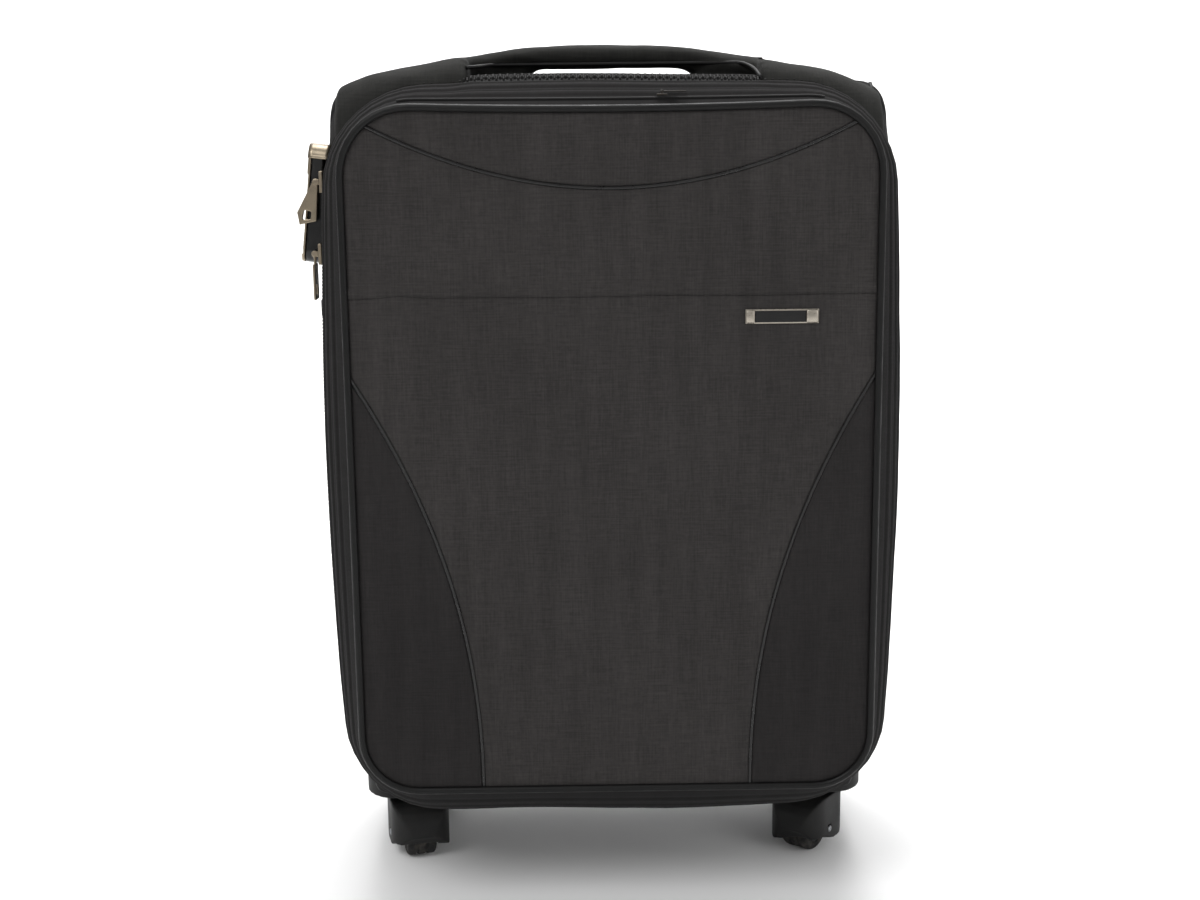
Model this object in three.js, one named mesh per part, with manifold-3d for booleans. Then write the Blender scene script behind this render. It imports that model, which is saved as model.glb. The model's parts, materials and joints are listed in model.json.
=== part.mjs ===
// Softside upright suitcase: sewn fabric body on a moulded base with four swivel casters, a zipped
// door-opening lid, an expansion ring, a combination lock and a two-stage telescoping handle.
// Millimetres. X runs to the right, Y from the front face to the back, Z up from the floor.
import * as THREE from 'three';
import { mergeVertices } from 'three/addons/utils/BufferGeometryUtils.js';
import Module from 'manifold-3d';

const wasm = await Module();
wasm.setup();

// ---------------------------------------------------------------- driving dimensions

const GAP = 0.3; // running gap between two pieces that touch
const PASS = 1; // how far a cutting tool runs past the surface it opens

const WIDTH = 342; // across the case at its corners, before the sides swell
const SWELL = 9; // how far each side bulges out at mid height
const LID_DEPTH = 46; // front seam to main zip
const ZIP_WIDTH = 8; // both tapes of the main zip together
const RING_DEPTH = 34; // expansion ring between the main zip and the tub
const TUB_DEPTH = 134; // tub from its mouth to its back
const BODY_HEIGHT = 472; // underside to top of the tub
const FRONT_HEIGHT = 421.5; // front panel, seam to seam
const FRONT_RISE = 39; // underside of the tub to the bottom seam of the front panel
const HANDLE_RISE = 25; // top of the tub to the crest of the top handle

const WHEEL = { radius: 17.5, width: 20, edge: 3, bore: 2.4 };
const FORK_CROWN = 7; // from the top of a wheel to the top of its fork
const MOUNT = { radius: 19, thickness: 3.4, studRadius: 3.8, studLength: 6 };
const TRAY_FLOOR = 7; // from the underside of the base tray to the underside of the tub

const LID_WALL = 3;
const RING_WALL = 4;
const TUB_WALL = 4;
const LINING_WALL = 1.5;

const LID_BACK = LID_DEPTH;
const ZIP_SPLIT = LID_BACK + ZIP_WIDTH / 2;
const RING_FRONT = LID_BACK + ZIP_WIDTH;
const RING_BACK = RING_FRONT + RING_DEPTH;
const TUB_FRONT = RING_BACK + GAP;
const TUB_BACK = TUB_FRONT + TUB_DEPTH;
const HALF = WIDTH / 2;

// Heights stack up from the floor: wheel, fork, caster mount, base tray, body, handle.
const FORK_TOP = 2 * WHEEL.radius + FORK_CROWN;
const MOUNT_TOP = FORK_TOP + GAP + MOUNT.thickness;
const TRAY_BOTTOM = MOUNT_TOP + GAP;
const CASE_BOTTOM = TRAY_BOTTOM + TRAY_FLOOR;
const CASE_TOP = CASE_BOTTOM + BODY_HEIGHT;
const OVERALL_TOP = CASE_TOP + HANDLE_RISE;
const FRONT_BOTTOM = CASE_BOTTOM + FRONT_RISE;
const FRONT_TOP = FRONT_BOTTOM + FRONT_HEIGHT;

// ---------------------------------------------------------------- looks

const look = (color, roughness, metalness = 0) => (
  new THREE.MeshStandardMaterial({ color, roughness, metalness })
);
const FABRIC = look('#3b393a', 0.92);
const FABRIC_DARK = look('#2c2b2b', 0.92);
const PANEL_SIDE = look('#323031', 0.92);
const SADDLE_FABRIC = look('#343431', 0.85);
const LINING_FABRIC = look('#57565a', 0.8);
const VINYL = look('#1b1b1b', 0.35);
const MATTE_PLASTIC = look('#1e1e1f', 0.6);
const GLOSS_PLASTIC = look('#141415', 0.2);
const BOARD_PLASTIC = look('#2a2a2c', 0.7);
const ZIP_COIL = look('#202020', 0.55);
const TYRE = look('#262627', 0.75);
const STEEL = look('#8b8d90', 0.35, 1);
const ALUMINIUM = look('#a9abae', 0.3, 1);
const BRONZE_METAL = look('#9a8c7a', 0.35, 1);
const CHROME = look('#c9c9c9', 0.15, 1);

// ---------------------------------------------------------------- solids

function part(name, geometry, material) {
  const mesh = new THREE.Mesh(geometry, material);
  mesh.name = name;
  return mesh;
}

function moved(geometry, x, y, z) {
  return geometry.translate(x, y, z);
}

function toSolid(geometry) {
  const bare = geometry.clone();
  bare.deleteAttribute('normal');
  bare.deleteAttribute('uv');
  const merged = mergeVertices(bare, 1e-4);
  return new wasm.Manifold(new wasm.Mesh({
    numProp: 3,
    vertProperties: Float32Array.from(merged.attributes.position.array),
    triVerts: Uint32Array.from(merged.index.array),
  }));
}

function toGeometry(solid) {
  const { vertProperties, triVerts } = solid.getMesh();
  const geometry = new THREE.BufferGeometry();
  geometry.setAttribute('position', new THREE.BufferAttribute(vertProperties, 3));
  geometry.setIndex(new THREE.BufferAttribute(triVerts, 1));
  geometry.computeVertexNormals();
  return geometry;
}

function cut(geometry, ...tools) {
  return toGeometry(tools.reduce((solid, tool) => solid.subtract(toSolid(tool)), toSolid(geometry)));
}

function join(geometry, ...others) {
  return toGeometry(others.reduce((solid, other) => solid.add(toSolid(other)), toSolid(geometry)));
}

function common(geometry, other) {
  return toGeometry(toSolid(geometry).intersect(toSolid(other)));
}

// A box given by its lowest and highest corners.
function block([x0, y0, z0], [x1, y1, z1]) {
  return moved(new THREE.BoxGeometry(x1 - x0, y1 - y0, z1 - z0), (x0 + x1) / 2, (y0 + y1) / 2, (z0 + z1) / 2);
}

// A cylinder along X, Y or Z through a centre point.
function rod(axis, radius, length, [x, y, z], sides = 16) {
  const cylinder = new THREE.CylinderGeometry(radius, radius, length, sides);
  if (axis === 'x') cylinder.rotateZ(Math.PI / 2);
  if (axis === 'z') cylinder.rotateX(Math.PI / 2);
  return moved(cylinder, x, y, z);
}

// A rectangle with round corners, centred on the origin of its own plane.
function roundedRectangle(width, height, radius) {
  const w = width / 2;
  const h = height / 2;
  const shape = new THREE.Shape();
  shape.absarc(w - radius, h - radius, radius, 0, Math.PI / 2);
  shape.absarc(-w + radius, h - radius, radius, Math.PI / 2, Math.PI);
  shape.absarc(-w + radius, -h + radius, radius, Math.PI, 1.5 * Math.PI);
  shape.absarc(w - radius, -h + radius, radius, 1.5 * Math.PI, 2 * Math.PI);
  return shape;
}

// Extrudes a shape drawn in X and Z from y0 back to y1.
function extrudeBack(shape, y0, y1, curveSegments = 6) {
  const geometry = new THREE.ExtrudeGeometry(shape, { depth: y1 - y0, bevelEnabled: false, curveSegments });
  return geometry.rotateX(Math.PI / 2).translate(0, y1, 0);
}

// Extrudes a shape drawn in X and Y from z0 up to z1.
function extrudeUp(shape, z0, z1, curveSegments = 4) {
  const geometry = new THREE.ExtrudeGeometry(shape, { depth: z1 - z0, bevelEnabled: false, curveSegments });
  return geometry.translate(0, 0, z0);
}

function signedVolume(positions, index) {
  const a = new THREE.Vector3();
  const b = new THREE.Vector3();
  const c = new THREE.Vector3();
  let volume = 0;
  for (let i = 0; i < index.length; i += 3) {
    a.fromArray(positions, index[i] * 3);
    b.fromArray(positions, index[i + 1] * 3);
    c.fromArray(positions, index[i + 2] * 3);
    volume += a.dot(b.cross(c)) / 6;
  }
  return volume;
}

// Joins a run of closed loops with equal point counts into one closed body. A ring joins its last loop
// to its first; any other run is closed by a fan over its first loop and one over its last.
function loft(loops, ring = false) {
  const count = loops[0].length;
  const positions = loops.flatMap((loop) => loop.flatMap((point) => point.toArray()));
  const index = [];
  const bands = ring ? loops.length : loops.length - 1;
  for (let band = 0; band < bands; band += 1) {
    const after = (band + 1) % loops.length;
    const here = band * count;
    const next = after * count;
    // The diagonal always leans the same way from front to back, so nested lofts stay parallel.
    const rearward = loops[after][0].y >= loops[band][0].y;
    for (let i = 0; i < count; i += 1) {
      const j = (i + 1) % count;
      if (rearward) index.push(here + i, here + j, next + j, here + i, next + j, next + i);
      else index.push(here + i, here + j, next + i, here + j, next + j, next + i);
    }
  }
  const fan = (loop, start, reverse) => {
    const centre = loop.reduce((sum, point) => sum.add(point), new THREE.Vector3()).divideScalar(count);
    const hub = positions.length / 3;
    positions.push(...centre.toArray());
    for (let i = 0; i < count; i += 1) {
      const j = (i + 1) % count;
      index.push(hub, start + (reverse ? j : i), start + (reverse ? i : j));
    }
  };
  if (!ring) {
    fan(loops[0], 0, true);
    fan(loops.at(-1), (loops.length - 1) * count, false);
  }
  if (signedVolume(positions, index) < 0) {
    for (let i = 0; i < index.length; i += 3) [index[i], index[i + 1]] = [index[i + 1], index[i]];
  }
  const geometry = new THREE.BufferGeometry();
  geometry.setAttribute('position', new THREE.Float32BufferAttribute(positions, 3));
  geometry.setIndex(index);
  geometry.computeVertexNormals();
  return geometry;
}

// ---------------------------------------------------------------- the case outline

// The outline of the case at one depth: a rectangle with round corners whose sides swell, whose top
// is crowned and whose bottom sags.
const SEAM = {
  y: 0,
  half: HALF - 12.5,
  bottom: FRONT_BOTTOM,
  top: FRONT_TOP,
  lowCorner: 35,
  highCorner: 42,
  swell: 0,
  crown: -3.5,
  sag: 0,
};
const MOUTH = {
  y: LID_BACK,
  half: HALF,
  bottom: CASE_BOTTOM + 10.5,
  top: CASE_TOP - 2,
  lowCorner: 45,
  highCorner: 46,
  swell: SWELL,
  crown: 4,
  sag: 3.5,
};
const TUB_MOUTH = {
  y: RING_BACK,
  half: HALF + 3,
  bottom: CASE_BOTTOM,
  top: CASE_TOP,
  lowCorner: 45,
  highCorner: 15,
  swell: SWELL - 3,
  crown: 5,
  sag: 3,
};
const TUB_END = {
  y: TUB_BACK,
  half: HALF - 1,
  bottom: CASE_BOTTOM,
  top: CASE_TOP - 3,
  lowCorner: 32,
  highCorner: 18,
  swell: 3,
  crown: 0,
  sag: 0,
};

const mix = (a, b, t) => a + (b - a) * t;

// The station a share of the way from one to another; the outline may run ahead of the depth.
function between(front, back, share, outlineShare = share) {
  const station = {};
  for (const key of Object.keys(front)) station[key] = mix(front[key], back[key], outlineShare);
  station.y = mix(front.y, back.y, share);
  return station;
}

// The gusset rounds over from the front seam: it widens fast at first, then runs level to the zip.
const lidStation = (share) => between(SEAM, MOUTH, share, 1 - (1 - share) ** 1.7);
const ringStation = (share) => between({ ...MOUTH, y: RING_FRONT }, TUB_MOUTH, share);
const tubStation = (share) => between({ ...TUB_MOUTH, y: TUB_FRONT }, TUB_END, share);
const tubStationAt = (y) => tubStation((y - TUB_FRONT) / TUB_DEPTH);

function outline(station, inset = 0, y = station.y) {
  const half = station.half - inset;
  const bottom = station.bottom + inset;
  const top = station.top - inset;
  const low = Math.max(station.lowCorner - inset, 1);
  const high = Math.max(station.highCorner - inset, 1);
  const corners = [
    { x: half - high, z: top - high, radius: high, steps: 2 },
    { x: high - half, z: top - high, radius: high, steps: 6 },
    { x: low - half, z: bottom + low, radius: low, steps: 2 },
    { x: half - low, z: bottom + low, radius: low, steps: 6 },
  ];
  const flat = [];
  const arcSteps = 5;
  corners.forEach((corner, number) => {
    for (let i = 0; i <= arcSteps; i += 1) {
      const angle = (number + i / arcSteps) * Math.PI / 2;
      flat.push([corner.x + corner.radius * Math.cos(angle), corner.z + corner.radius * Math.sin(angle)]);
    }
    // The straight run on to the next corner, in a few steps so that it can bow.
    const next = corners[(number + 1) % 4];
    const turn = (number + 1) * Math.PI / 2;
    const from = flat.at(-1);
    const to = [next.x + next.radius * Math.cos(turn), next.z + next.radius * Math.sin(turn)];
    for (let i = 1; i < corner.steps; i += 1) {
      const t = i / corner.steps;
      flat.push([mix(from[0], to[0], t), mix(from[1], to[1], t)]);
    }
  });
  const middle = (top + bottom) / 2;
  const reach = (top - bottom) / 2;
  return flat.map(([x, z]) => {
    const up = (z - middle) / reach;
    const out = x / half;
    const bow = z > middle ? station.crown : -station.sag;
    const wide = x * (1 + (station.swell / half) * (1 - up * up));
    return new THREE.Vector3(wide, y, z + bow * Math.abs(up) * (1 - out * out));
  });
}

// A closed band that follows the case outline: from one station back to another, this thick.
function band(front, back, wall, inset = 0) {
  return loft([
    outline(front, inset),
    outline(back, inset),
    outline(back, inset + wall),
    outline(front, inset + wall),
  ], true);
}

// A plug that fills the case outline between two depths, to cut what sits on the case.
function plug(front, back, inset) {
  return loft([outline(front, inset), outline(back, inset)]);
}

// ---------------------------------------------------------------- case: tub, frame, base

const BOARD_THICKNESS = 3;
const HOOP_FRONT = TUB_FRONT + 1;
const HOOP_WIDTH = 7;
const HOOP_THICKNESS = 2.5;
const BACK_ROUNDING = 7;

const TRAY_HALF = HALF + 1;
const TRAY_FRONT = TUB_FRONT + 3;
const TRAY_BACK = TUB_BACK + 4;
const TRAY_TOP = TRAY_BOTTOM + 20;
const TRAY_CORNER = 22;

const TROLLEY_Y = TUB_BACK - 26; // depth of the telescoping tubes
const BEZEL_FLANGE = { width: 232, depth: 36, thickness: 3, corner: 12 };
const BEZEL_BODY = { width: 212, depth: 27, height: 26, corner: 8 };
const BEZEL_SEAT = tubStationAt(TROLLEY_Y - BEZEL_FLANGE.depth / 2);
const BEZEL_TOP = BEZEL_SEAT.top + BEZEL_SEAT.crown + GAP + BEZEL_FLANGE.thickness;
const BEZEL_UNDERSIDE = BEZEL_TOP - BEZEL_BODY.height;
const LINING_BACK = TROLLEY_Y - BEZEL_BODY.depth / 2 - 1;
const LINING_SLACK = 0.7;
// Shares of the tub's depth where its walls have a station: the belly, and where the back rounds off.
const BELLY = 0.45;
const ROUNDING = 0.94;

function bodyTub() {
  const outerShares = [ROUNDING, BELLY, 0];
  const shell = loft([
    outline(tubStation(1), BACK_ROUNDING),
    ...outerShares.map((share) => outline(tubStation(share))),
    ...outerShares.toReversed().map((share) => outline(tubStation(share), TUB_WALL)),
    outline(tubStation(1), BACK_ROUNDING + 1, TUB_BACK - TUB_WALL),
  ]);
  const { width, depth, corner } = BEZEL_BODY;
  const window = extrudeUp(
    roundedRectangle(width + 2 * GAP, depth + 2 * GAP, corner + GAP),
    BEZEL_UNDERSIDE,
    BEZEL_TOP,
  );
  return cut(shell, moved(window, 0, TROLLEY_Y, 0));
}

function frameHoop() {
  const back = HOOP_FRONT + HOOP_WIDTH;
  return band(tubStationAt(HOOP_FRONT), tubStationAt(back), HOOP_THICKNESS, TUB_WALL + GAP);
}

function lining() {
  const mouth = tubStationAt(HOOP_FRONT + HOOP_WIDTH + GAP);
  const stations = [tubStationAt(LINING_BACK), tubStation(BELLY), mouth];
  const inset = TUB_WALL + LINING_SLACK;
  return loft([
    ...stations.map((station) => outline(station, inset)),
    ...stations.slice(1).toReversed().map((station) => outline(station, inset + LINING_WALL)),
    outline(stations[0], inset + LINING_WALL, LINING_BACK - LINING_WALL),
  ]);
}

function backBoard() {
  const back = TUB_BACK - TUB_WALL - GAP;
  const inset = BACK_ROUNDING + 6;
  const station = tubStation(1);
  return loft([outline(station, inset, back - BOARD_THICKNESS), outline(station, inset, back)]);
}

// The whole tub as one plug, grown by the running gap, and run past the tub's mouth.
function tubEnvelope() {
  const ahead = { ...tubStation(0), y: TRAY_FRONT - 10 };
  return loft([
    outline(ahead, -GAP),
    outline(tubStation(0), -GAP),
    outline(tubStation(BELLY), -GAP),
    outline(tubStation(ROUNDING), -GAP),
    outline(tubStation(1), BACK_ROUNDING - GAP, TUB_BACK + GAP),
  ]);
}

function baseTray() {
  const depth = TRAY_BACK - TRAY_FRONT;
  const shape = roundedRectangle(2 * TRAY_HALF, depth, TRAY_CORNER);
  const tray = moved(extrudeUp(shape, TRAY_BOTTOM, TRAY_TOP, 5), 0, (TRAY_FRONT + TRAY_BACK) / 2, 0);
  return cut(tray, tubEnvelope());
}

// ---------------------------------------------------------------- casters

const AXLE_RADIUS = 2.1;
const TRAIL = 9; // wheel centre behind the swivel
const FORK = {
  width: WHEEL.width + 20,
  front: WHEEL.radius + 13,
  back: 18,
  corner: 15,
  skirt: WHEEL.radius - 9,
  slotWall: 1.2,
  neck: 15,
};
const CASTER_X = TRAY_HALF - 33;
const CASTER_INSET = 24; // from the tray's front or back edge to a swivel
const CASTERS = [
  { tag: 'fl', x: -CASTER_X, y: TRAY_FRONT + CASTER_INSET, turn: 14 },
  { tag: 'fr', x: CASTER_X, y: TRAY_FRONT + CASTER_INSET, turn: -36 },
  { tag: 'rl', x: -CASTER_X, y: TRAY_BACK - CASTER_INSET - TRAIL, turn: 20 },
  { tag: 'rr', x: CASTER_X, y: TRAY_BACK - CASTER_INSET - TRAIL, turn: -12 },
];

const lathe = (profile, sides) => (
  new THREE.LatheGeometry(profile.map(([r, z]) => new THREE.Vector2(r, z)), sides).rotateX(Math.PI / 2)
);

function casterMount() {
  const { radius, thickness, studRadius, studLength } = MOUNT;
  const plate = MOUNT_TOP - thickness;
  return lathe([
    [0, plate - studLength],
    [studRadius, plate - studLength],
    [studRadius, plate],
    [radius - 1, plate],
    [radius, plate + 1],
    [radius, MOUNT_TOP],
    [0, MOUNT_TOP],
  ], 24);
}

function casterFork() {
  const { width, front, back, corner, skirt, slotWall, neck } = FORK;
  // Side view of the hood: a domed cover over the wheel, drawn in Y and Z.
  const side = new THREE.Shape();
  side.moveTo(neck, FORK_TOP);
  side.lineTo(-neck - 3, FORK_TOP);
  side.quadraticCurveTo(-front, FORK_TOP - 4, -front, skirt + 8);
  side.lineTo(4 - front, skirt);
  side.lineTo(TRAIL, skirt);
  side.quadraticCurveTo(neck + 3, skirt + 12, neck, FORK_TOP);
  const hood = new THREE.ExtrudeGeometry(side, { depth: width, bevelEnabled: false, curveSegments: 5 });
  hood.rotateY(Math.PI / 2).rotateX(Math.PI / 2).translate(-width / 2, 0, 0);
  const footprint = extrudeUp(roundedRectangle(width, front + back, corner), 0, FORK_TOP + PASS, 6);
  const plan = moved(footprint, 0, (back - front) / 2, 0);
  const slotWidth = WHEEL.width + 2 * slotWall;
  const slot = rod('x', WHEEL.radius + 1.3, slotWidth, [0, -TRAIL, WHEEL.radius], 24);
  const { studRadius, studLength } = MOUNT;
  const socketDepth = studLength + GAP;
  const socket = rod('z', studRadius + GAP, 2 * socketDepth, [0, 0, FORK_TOP + GAP], 20);
  const axleHole = rod('x', AXLE_RADIUS + 0.15, width + 2 * PASS, [0, -TRAIL, WHEEL.radius], 16);
  return cut(common(hood, plan), slot, socket, axleHole);
}

function casterWheel() {
  const { radius, width, edge, bore } = WHEEL;
  const half = width / 2;
  return lathe([
    [bore, -half],
    [radius - edge, -half],
    [radius, edge - half],
    [radius, half - edge],
    [radius - edge, half],
    [bore, half],
    [bore, -half],
  ], 28).rotateY(Math.PI / 2).translate(0, -TRAIL, radius);
}

function casterAxle() {
  return rod('x', AXLE_RADIUS, FORK.width - 5, [0, -TRAIL, WHEEL.radius], 12);
}

function casterAssembly({ tag, x, y, turn }) {
  const group = new THREE.Group();
  group.position.set(x, y, 0);
  group.rotation.z = THREE.MathUtils.degToRad(turn);
  group.add(
    part(`caster_mount_${tag}`, casterMount(), BOARD_PLASTIC),
    part(`fork_${tag}`, casterFork(), MATTE_PLASTIC),
    part(`wheel_${tag}`, casterWheel(), TYRE),
    part(`axle_${tag}`, casterAxle(), STEEL),
  );
  return group;
}

// ---------------------------------------------------------------- handles on the case

const SADDLE = {
  front: RING_FRONT + 4,
  back: TUB_FRONT + 35.7,
  half: HALF - 3,
  edge: CASE_TOP - 20,
};
const GRIP_BAR = { front: RING_BACK - 4, underside: OVERALL_TOP - 13.5 };
const HAND_NOTCH = { left: -86, right: 92 }; // the cut in the front of the saddle
const HAND_GAP = { left: -60, right: 58 }; // the way through behind it
// The crest of the handle: distance in from each shoulder, and drop below the middle.
const CREST = [[0, 30], [18, 19], [61, 9.3], [113, 2]];

// The padded top handle: a saddle over both shoulders that bridges the middle as a grip.
function topHandle() {
  const { front, back, half, edge } = SADDLE;
  const side = (sign) => CREST.map(
    ([inward, drop]) => new THREE.Vector2(sign * (half - inward), OVERALL_TOP - drop),
  );
  const crest = new THREE.SplineCurve([
    ...side(1),
    new THREE.Vector2(0, OVERALL_TOP),
    ...side(-1).toReversed(),
  ]);
  const shape = new THREE.Shape([
    new THREE.Vector2(half, edge),
    ...crest.getPoints(20),
    new THREE.Vector2(-half, edge),
  ]);
  const mouth = { ...TUB_MOUTH, y: front - PASS };
  const below = plug(mouth, { ...TUB_MOUTH, y: back + PASS }, -GAP);
  const handGap = block(
    [HAND_GAP.left, front - PASS, edge],
    [HAND_GAP.right, back + PASS, GRIP_BAR.underside],
  );
  const frontNotch = block(
    [HAND_NOTCH.left, front - PASS, edge],
    [HAND_NOTCH.right, GRIP_BAR.front, OVERALL_TOP + PASS],
  );
  return cut(extrudeBack(shape, front, back), below, handGap, frontNotch);
}

const SIDE_HANDLE = {
  low: CASE_BOTTOM + 209,
  high: CASE_BOTTOM + 325,
  depth: 28,
  bar: 12,
  thickness: 6,
  y: TUB_FRONT + 29.7,
  pinRadius: 2,
};
const SIDE_BRACKET = { height: 11, depth: 16, reach: 12 };
const SIDE_HANDLE_X = -(TUB_MOUTH.half + TUB_MOUTH.swell + 5);

function sideHandle() {
  const { low, high, depth, bar, thickness, y, pinRadius } = SIDE_HANDLE;
  const loop = new THREE.Shape([
    new THREE.Vector2(y - 4, low),
    new THREE.Vector2(y + depth - 5, low),
    new THREE.Vector2(y + depth, low + 5),
    new THREE.Vector2(y + depth, high - 5),
    new THREE.Vector2(y + depth - 5, high),
    new THREE.Vector2(y - 4, high),
    new THREE.Vector2(y - 4, high - bar),
    new THREE.Vector2(y + depth - bar, high - bar),
    new THREE.Vector2(y + depth - bar, low + bar),
    new THREE.Vector2(y - 4, low + bar),
  ]);
  const strap = new THREE.ExtrudeGeometry(loop, { depth: thickness, bevelEnabled: false });
  strap.rotateY(Math.PI / 2).rotateX(Math.PI / 2).translate(SIDE_HANDLE_X - thickness / 2, 0, 0);
  const pinLength = SIDE_BRACKET.height - 2;
  const pins = [low - pinLength / 2 + PASS, high + pinLength / 2 - PASS].map((z) => (
    rod('z', pinRadius, pinLength + 2 * PASS, [SIDE_HANDLE_X, y, z], 12)
  ));
  return join(strap, ...pins);
}

// One bracket past an end of the side handle; direction is 1 above it and -1 below it.
function sideHandleBracket(end, direction) {
  const { y, pinRadius } = SIDE_HANDLE;
  const { height, depth, reach } = SIDE_BRACKET;
  const z = end + direction * (height / 2 + GAP);
  const body = block(
    [SIDE_HANDLE_X - 5, y - depth / 2, z - height / 2],
    [SIDE_HANDLE_X + reach, y + depth / 2, z + height / 2],
  );
  const hole = rod('z', pinRadius + GAP, height + 2 * PASS, [SIDE_HANDLE_X, y, z], 12);
  return cut(body, tubEnvelope(), hole);
}

// ---------------------------------------------------------------- telescoping handle

const TUBE_X = 80;
const OUTER_TUBE = { width: 22, depth: 14, wall: 1.4 };
const TUBE_SLACK = 0.4;
const MID_TUBE = nested(OUTER_TUBE, 1.3);
const TOP_TUBE = nested(MID_TUBE, 1.3);
const FOOT = { half: 94, depth: 18, bottom: CASE_BOTTOM + TUB_WALL + GAP, height: 14 };
const GRIP = { width: 196, depth: 17, height: 18.5, corner: 7 };
const GRIP_SLACK = 1;
const RECESS_FLOOR = BEZEL_TOP - 17.5;
const BUTTON = { width: 34, depth: 9, height: 4.5, proud: 2, pocket: 5.5 };

// The tube that slides inside another, with its own wall.
function nested(outer, wall) {
  return {
    width: outer.width - 2 * outer.wall - 2 * TUBE_SLACK,
    depth: outer.depth - 2 * outer.wall - 2 * TUBE_SLACK,
    wall,
  };
}

function tubeSection({ width, depth, wall }) {
  const shape = roundedRectangle(width, depth, 3);
  shape.holes.push(roundedRectangle(width - 2 * wall, depth - 2 * wall, 3 - wall));
  return shape;
}

function tube(size, z0, z1, side) {
  return moved(extrudeUp(tubeSection(size), z0, z1, 3), side * TUBE_X, TROLLEY_Y, 0);
}

const outerTube = (side) => tube(OUTER_TUBE, FOOT.bottom + FOOT.height + GAP, BEZEL_UNDERSIDE - GAP, side);
const midTube = (side) => tube(MID_TUBE, FOOT.bottom + FOOT.height + 12, RECESS_FLOOR - 1, side);
const topTube = (side) => tube(TOP_TUBE, FOOT.bottom + FOOT.height + 16, RECESS_FLOOR + GAP, side);

function trolleyFoot() {
  const { half, depth, bottom, height } = FOOT;
  const bar = extrudeUp(roundedRectangle(2 * half, depth, 4), bottom, bottom + height);
  return moved(bar, 0, TROLLEY_Y, 0);
}

function trolleyBezel() {
  const flangeBottom = BEZEL_TOP - BEZEL_FLANGE.thickness;
  const flangeShape = roundedRectangle(BEZEL_FLANGE.width, BEZEL_FLANGE.depth, BEZEL_FLANGE.corner);
  const bodyShape = roundedRectangle(BEZEL_BODY.width, BEZEL_BODY.depth, BEZEL_BODY.corner);
  const flange = extrudeUp(flangeShape, flangeBottom, BEZEL_TOP);
  const body = extrudeUp(bodyShape, BEZEL_UNDERSIDE, BEZEL_TOP);
  const recessShape = roundedRectangle(GRIP.width + 2 * GRIP_SLACK, GRIP.depth + 2 * GRIP_SLACK, GRIP.corner);
  const recess = extrudeUp(recessShape, RECESS_FLOOR, BEZEL_TOP + PASS);
  const { width, depth } = MID_TUBE;
  const passage = (side) => moved(
    extrudeUp(roundedRectangle(width + 2 * GAP, depth + 2 * GAP, 3), BEZEL_UNDERSIDE - PASS, BEZEL_TOP, 3),
    side * TUBE_X,
    0,
    0,
  );
  return moved(cut(join(flange, body), recess, passage(-1), passage(1)), 0, TROLLEY_Y, 0);
}

const GRIP_BOTTOM = RECESS_FLOOR + 2 * GAP;
const GRIP_TOP = GRIP_BOTTOM + GRIP.height;

function trolleyGrip() {
  const bar = extrudeUp(roundedRectangle(GRIP.width, GRIP.depth, GRIP.corner), GRIP_BOTTOM, GRIP_TOP);
  const pocket = extrudeUp(
    roundedRectangle(BUTTON.width + 2 * GAP, BUTTON.depth + 2 * GAP, 4),
    GRIP_TOP - BUTTON.pocket,
    GRIP_TOP + PASS,
  );
  return moved(cut(bar, pocket), 0, TROLLEY_Y, 0);
}

function trolleyButton() {
  const top = GRIP_TOP + BUTTON.proud;
  const key = extrudeUp(roundedRectangle(BUTTON.width, BUTTON.depth, 4 - GAP), top - BUTTON.height, top);
  return moved(key, 0, TROLLEY_Y, 0);
}

// ---------------------------------------------------------------- expander and lock

const TAPE = 2.2; // thickness of a zip tape with its coil
const lidChainStation = { ...MOUTH, y: LID_BACK + GAP };
const midChainStation = { ...MOUTH, y: ZIP_SPLIT };

const lidZipChain = () => band(lidChainStation, { ...midChainStation, y: ZIP_SPLIT - GAP / 2 }, TAPE);
const caseZipChain = () => (
  band({ ...midChainStation, y: ZIP_SPLIT + GAP / 2 }, { ...MOUTH, y: RING_FRONT - GAP }, TAPE)
);
const gussetRing = () => band(ringStation(0), ringStation(1), RING_WALL);

const LOCK = {
  length: 73,
  width: 28,
  thickness: 16,
  tilt: 6.5,
  face: -(TUB_MOUTH.half + 14.2),
  y: RING_FRONT + RING_DEPTH / 2,
  z: CASE_TOP - 70.5,
};
const LOCK_FRAME = { rim: 3, depth: 1.4 };
const DIAL = { radius: 5.6, width: 5.6, pitch: 7.2, proud: 1, z: 4, count: 3 };
const LOCK_BUTTON = { width: 9, length: 11, proud: 1.6, travel: 1.4, depth: 4, z: -24 };

// Lock pieces are drawn with the outer face at X = 0, the case side at +X and the length along Z.
function lockOutline(inset) {
  return roundedRectangle(LOCK.width - 2 * inset, LOCK.length - 2 * inset, 8 - inset);
}

function extrudeIn(shape, x0, x1) {
  const settings = { depth: x1 - x0, bevelEnabled: false, curveSegments: 5 };
  const geometry = new THREE.ExtrudeGeometry(shape, settings);
  return geometry.rotateY(Math.PI / 2).rotateX(Math.PI / 2).translate(x0, 0, 0);
}

function dialPlaces() {
  return Array.from({ length: DIAL.count }, (_, i) => DIAL.z + (1 - i) * DIAL.pitch);
}

function lockPlacement() {
  const place = new THREE.Matrix4().makeRotationY(THREE.MathUtils.degToRad(LOCK.tilt));
  return place.setPosition(LOCK.face, LOCK.y, LOCK.z);
}

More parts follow.
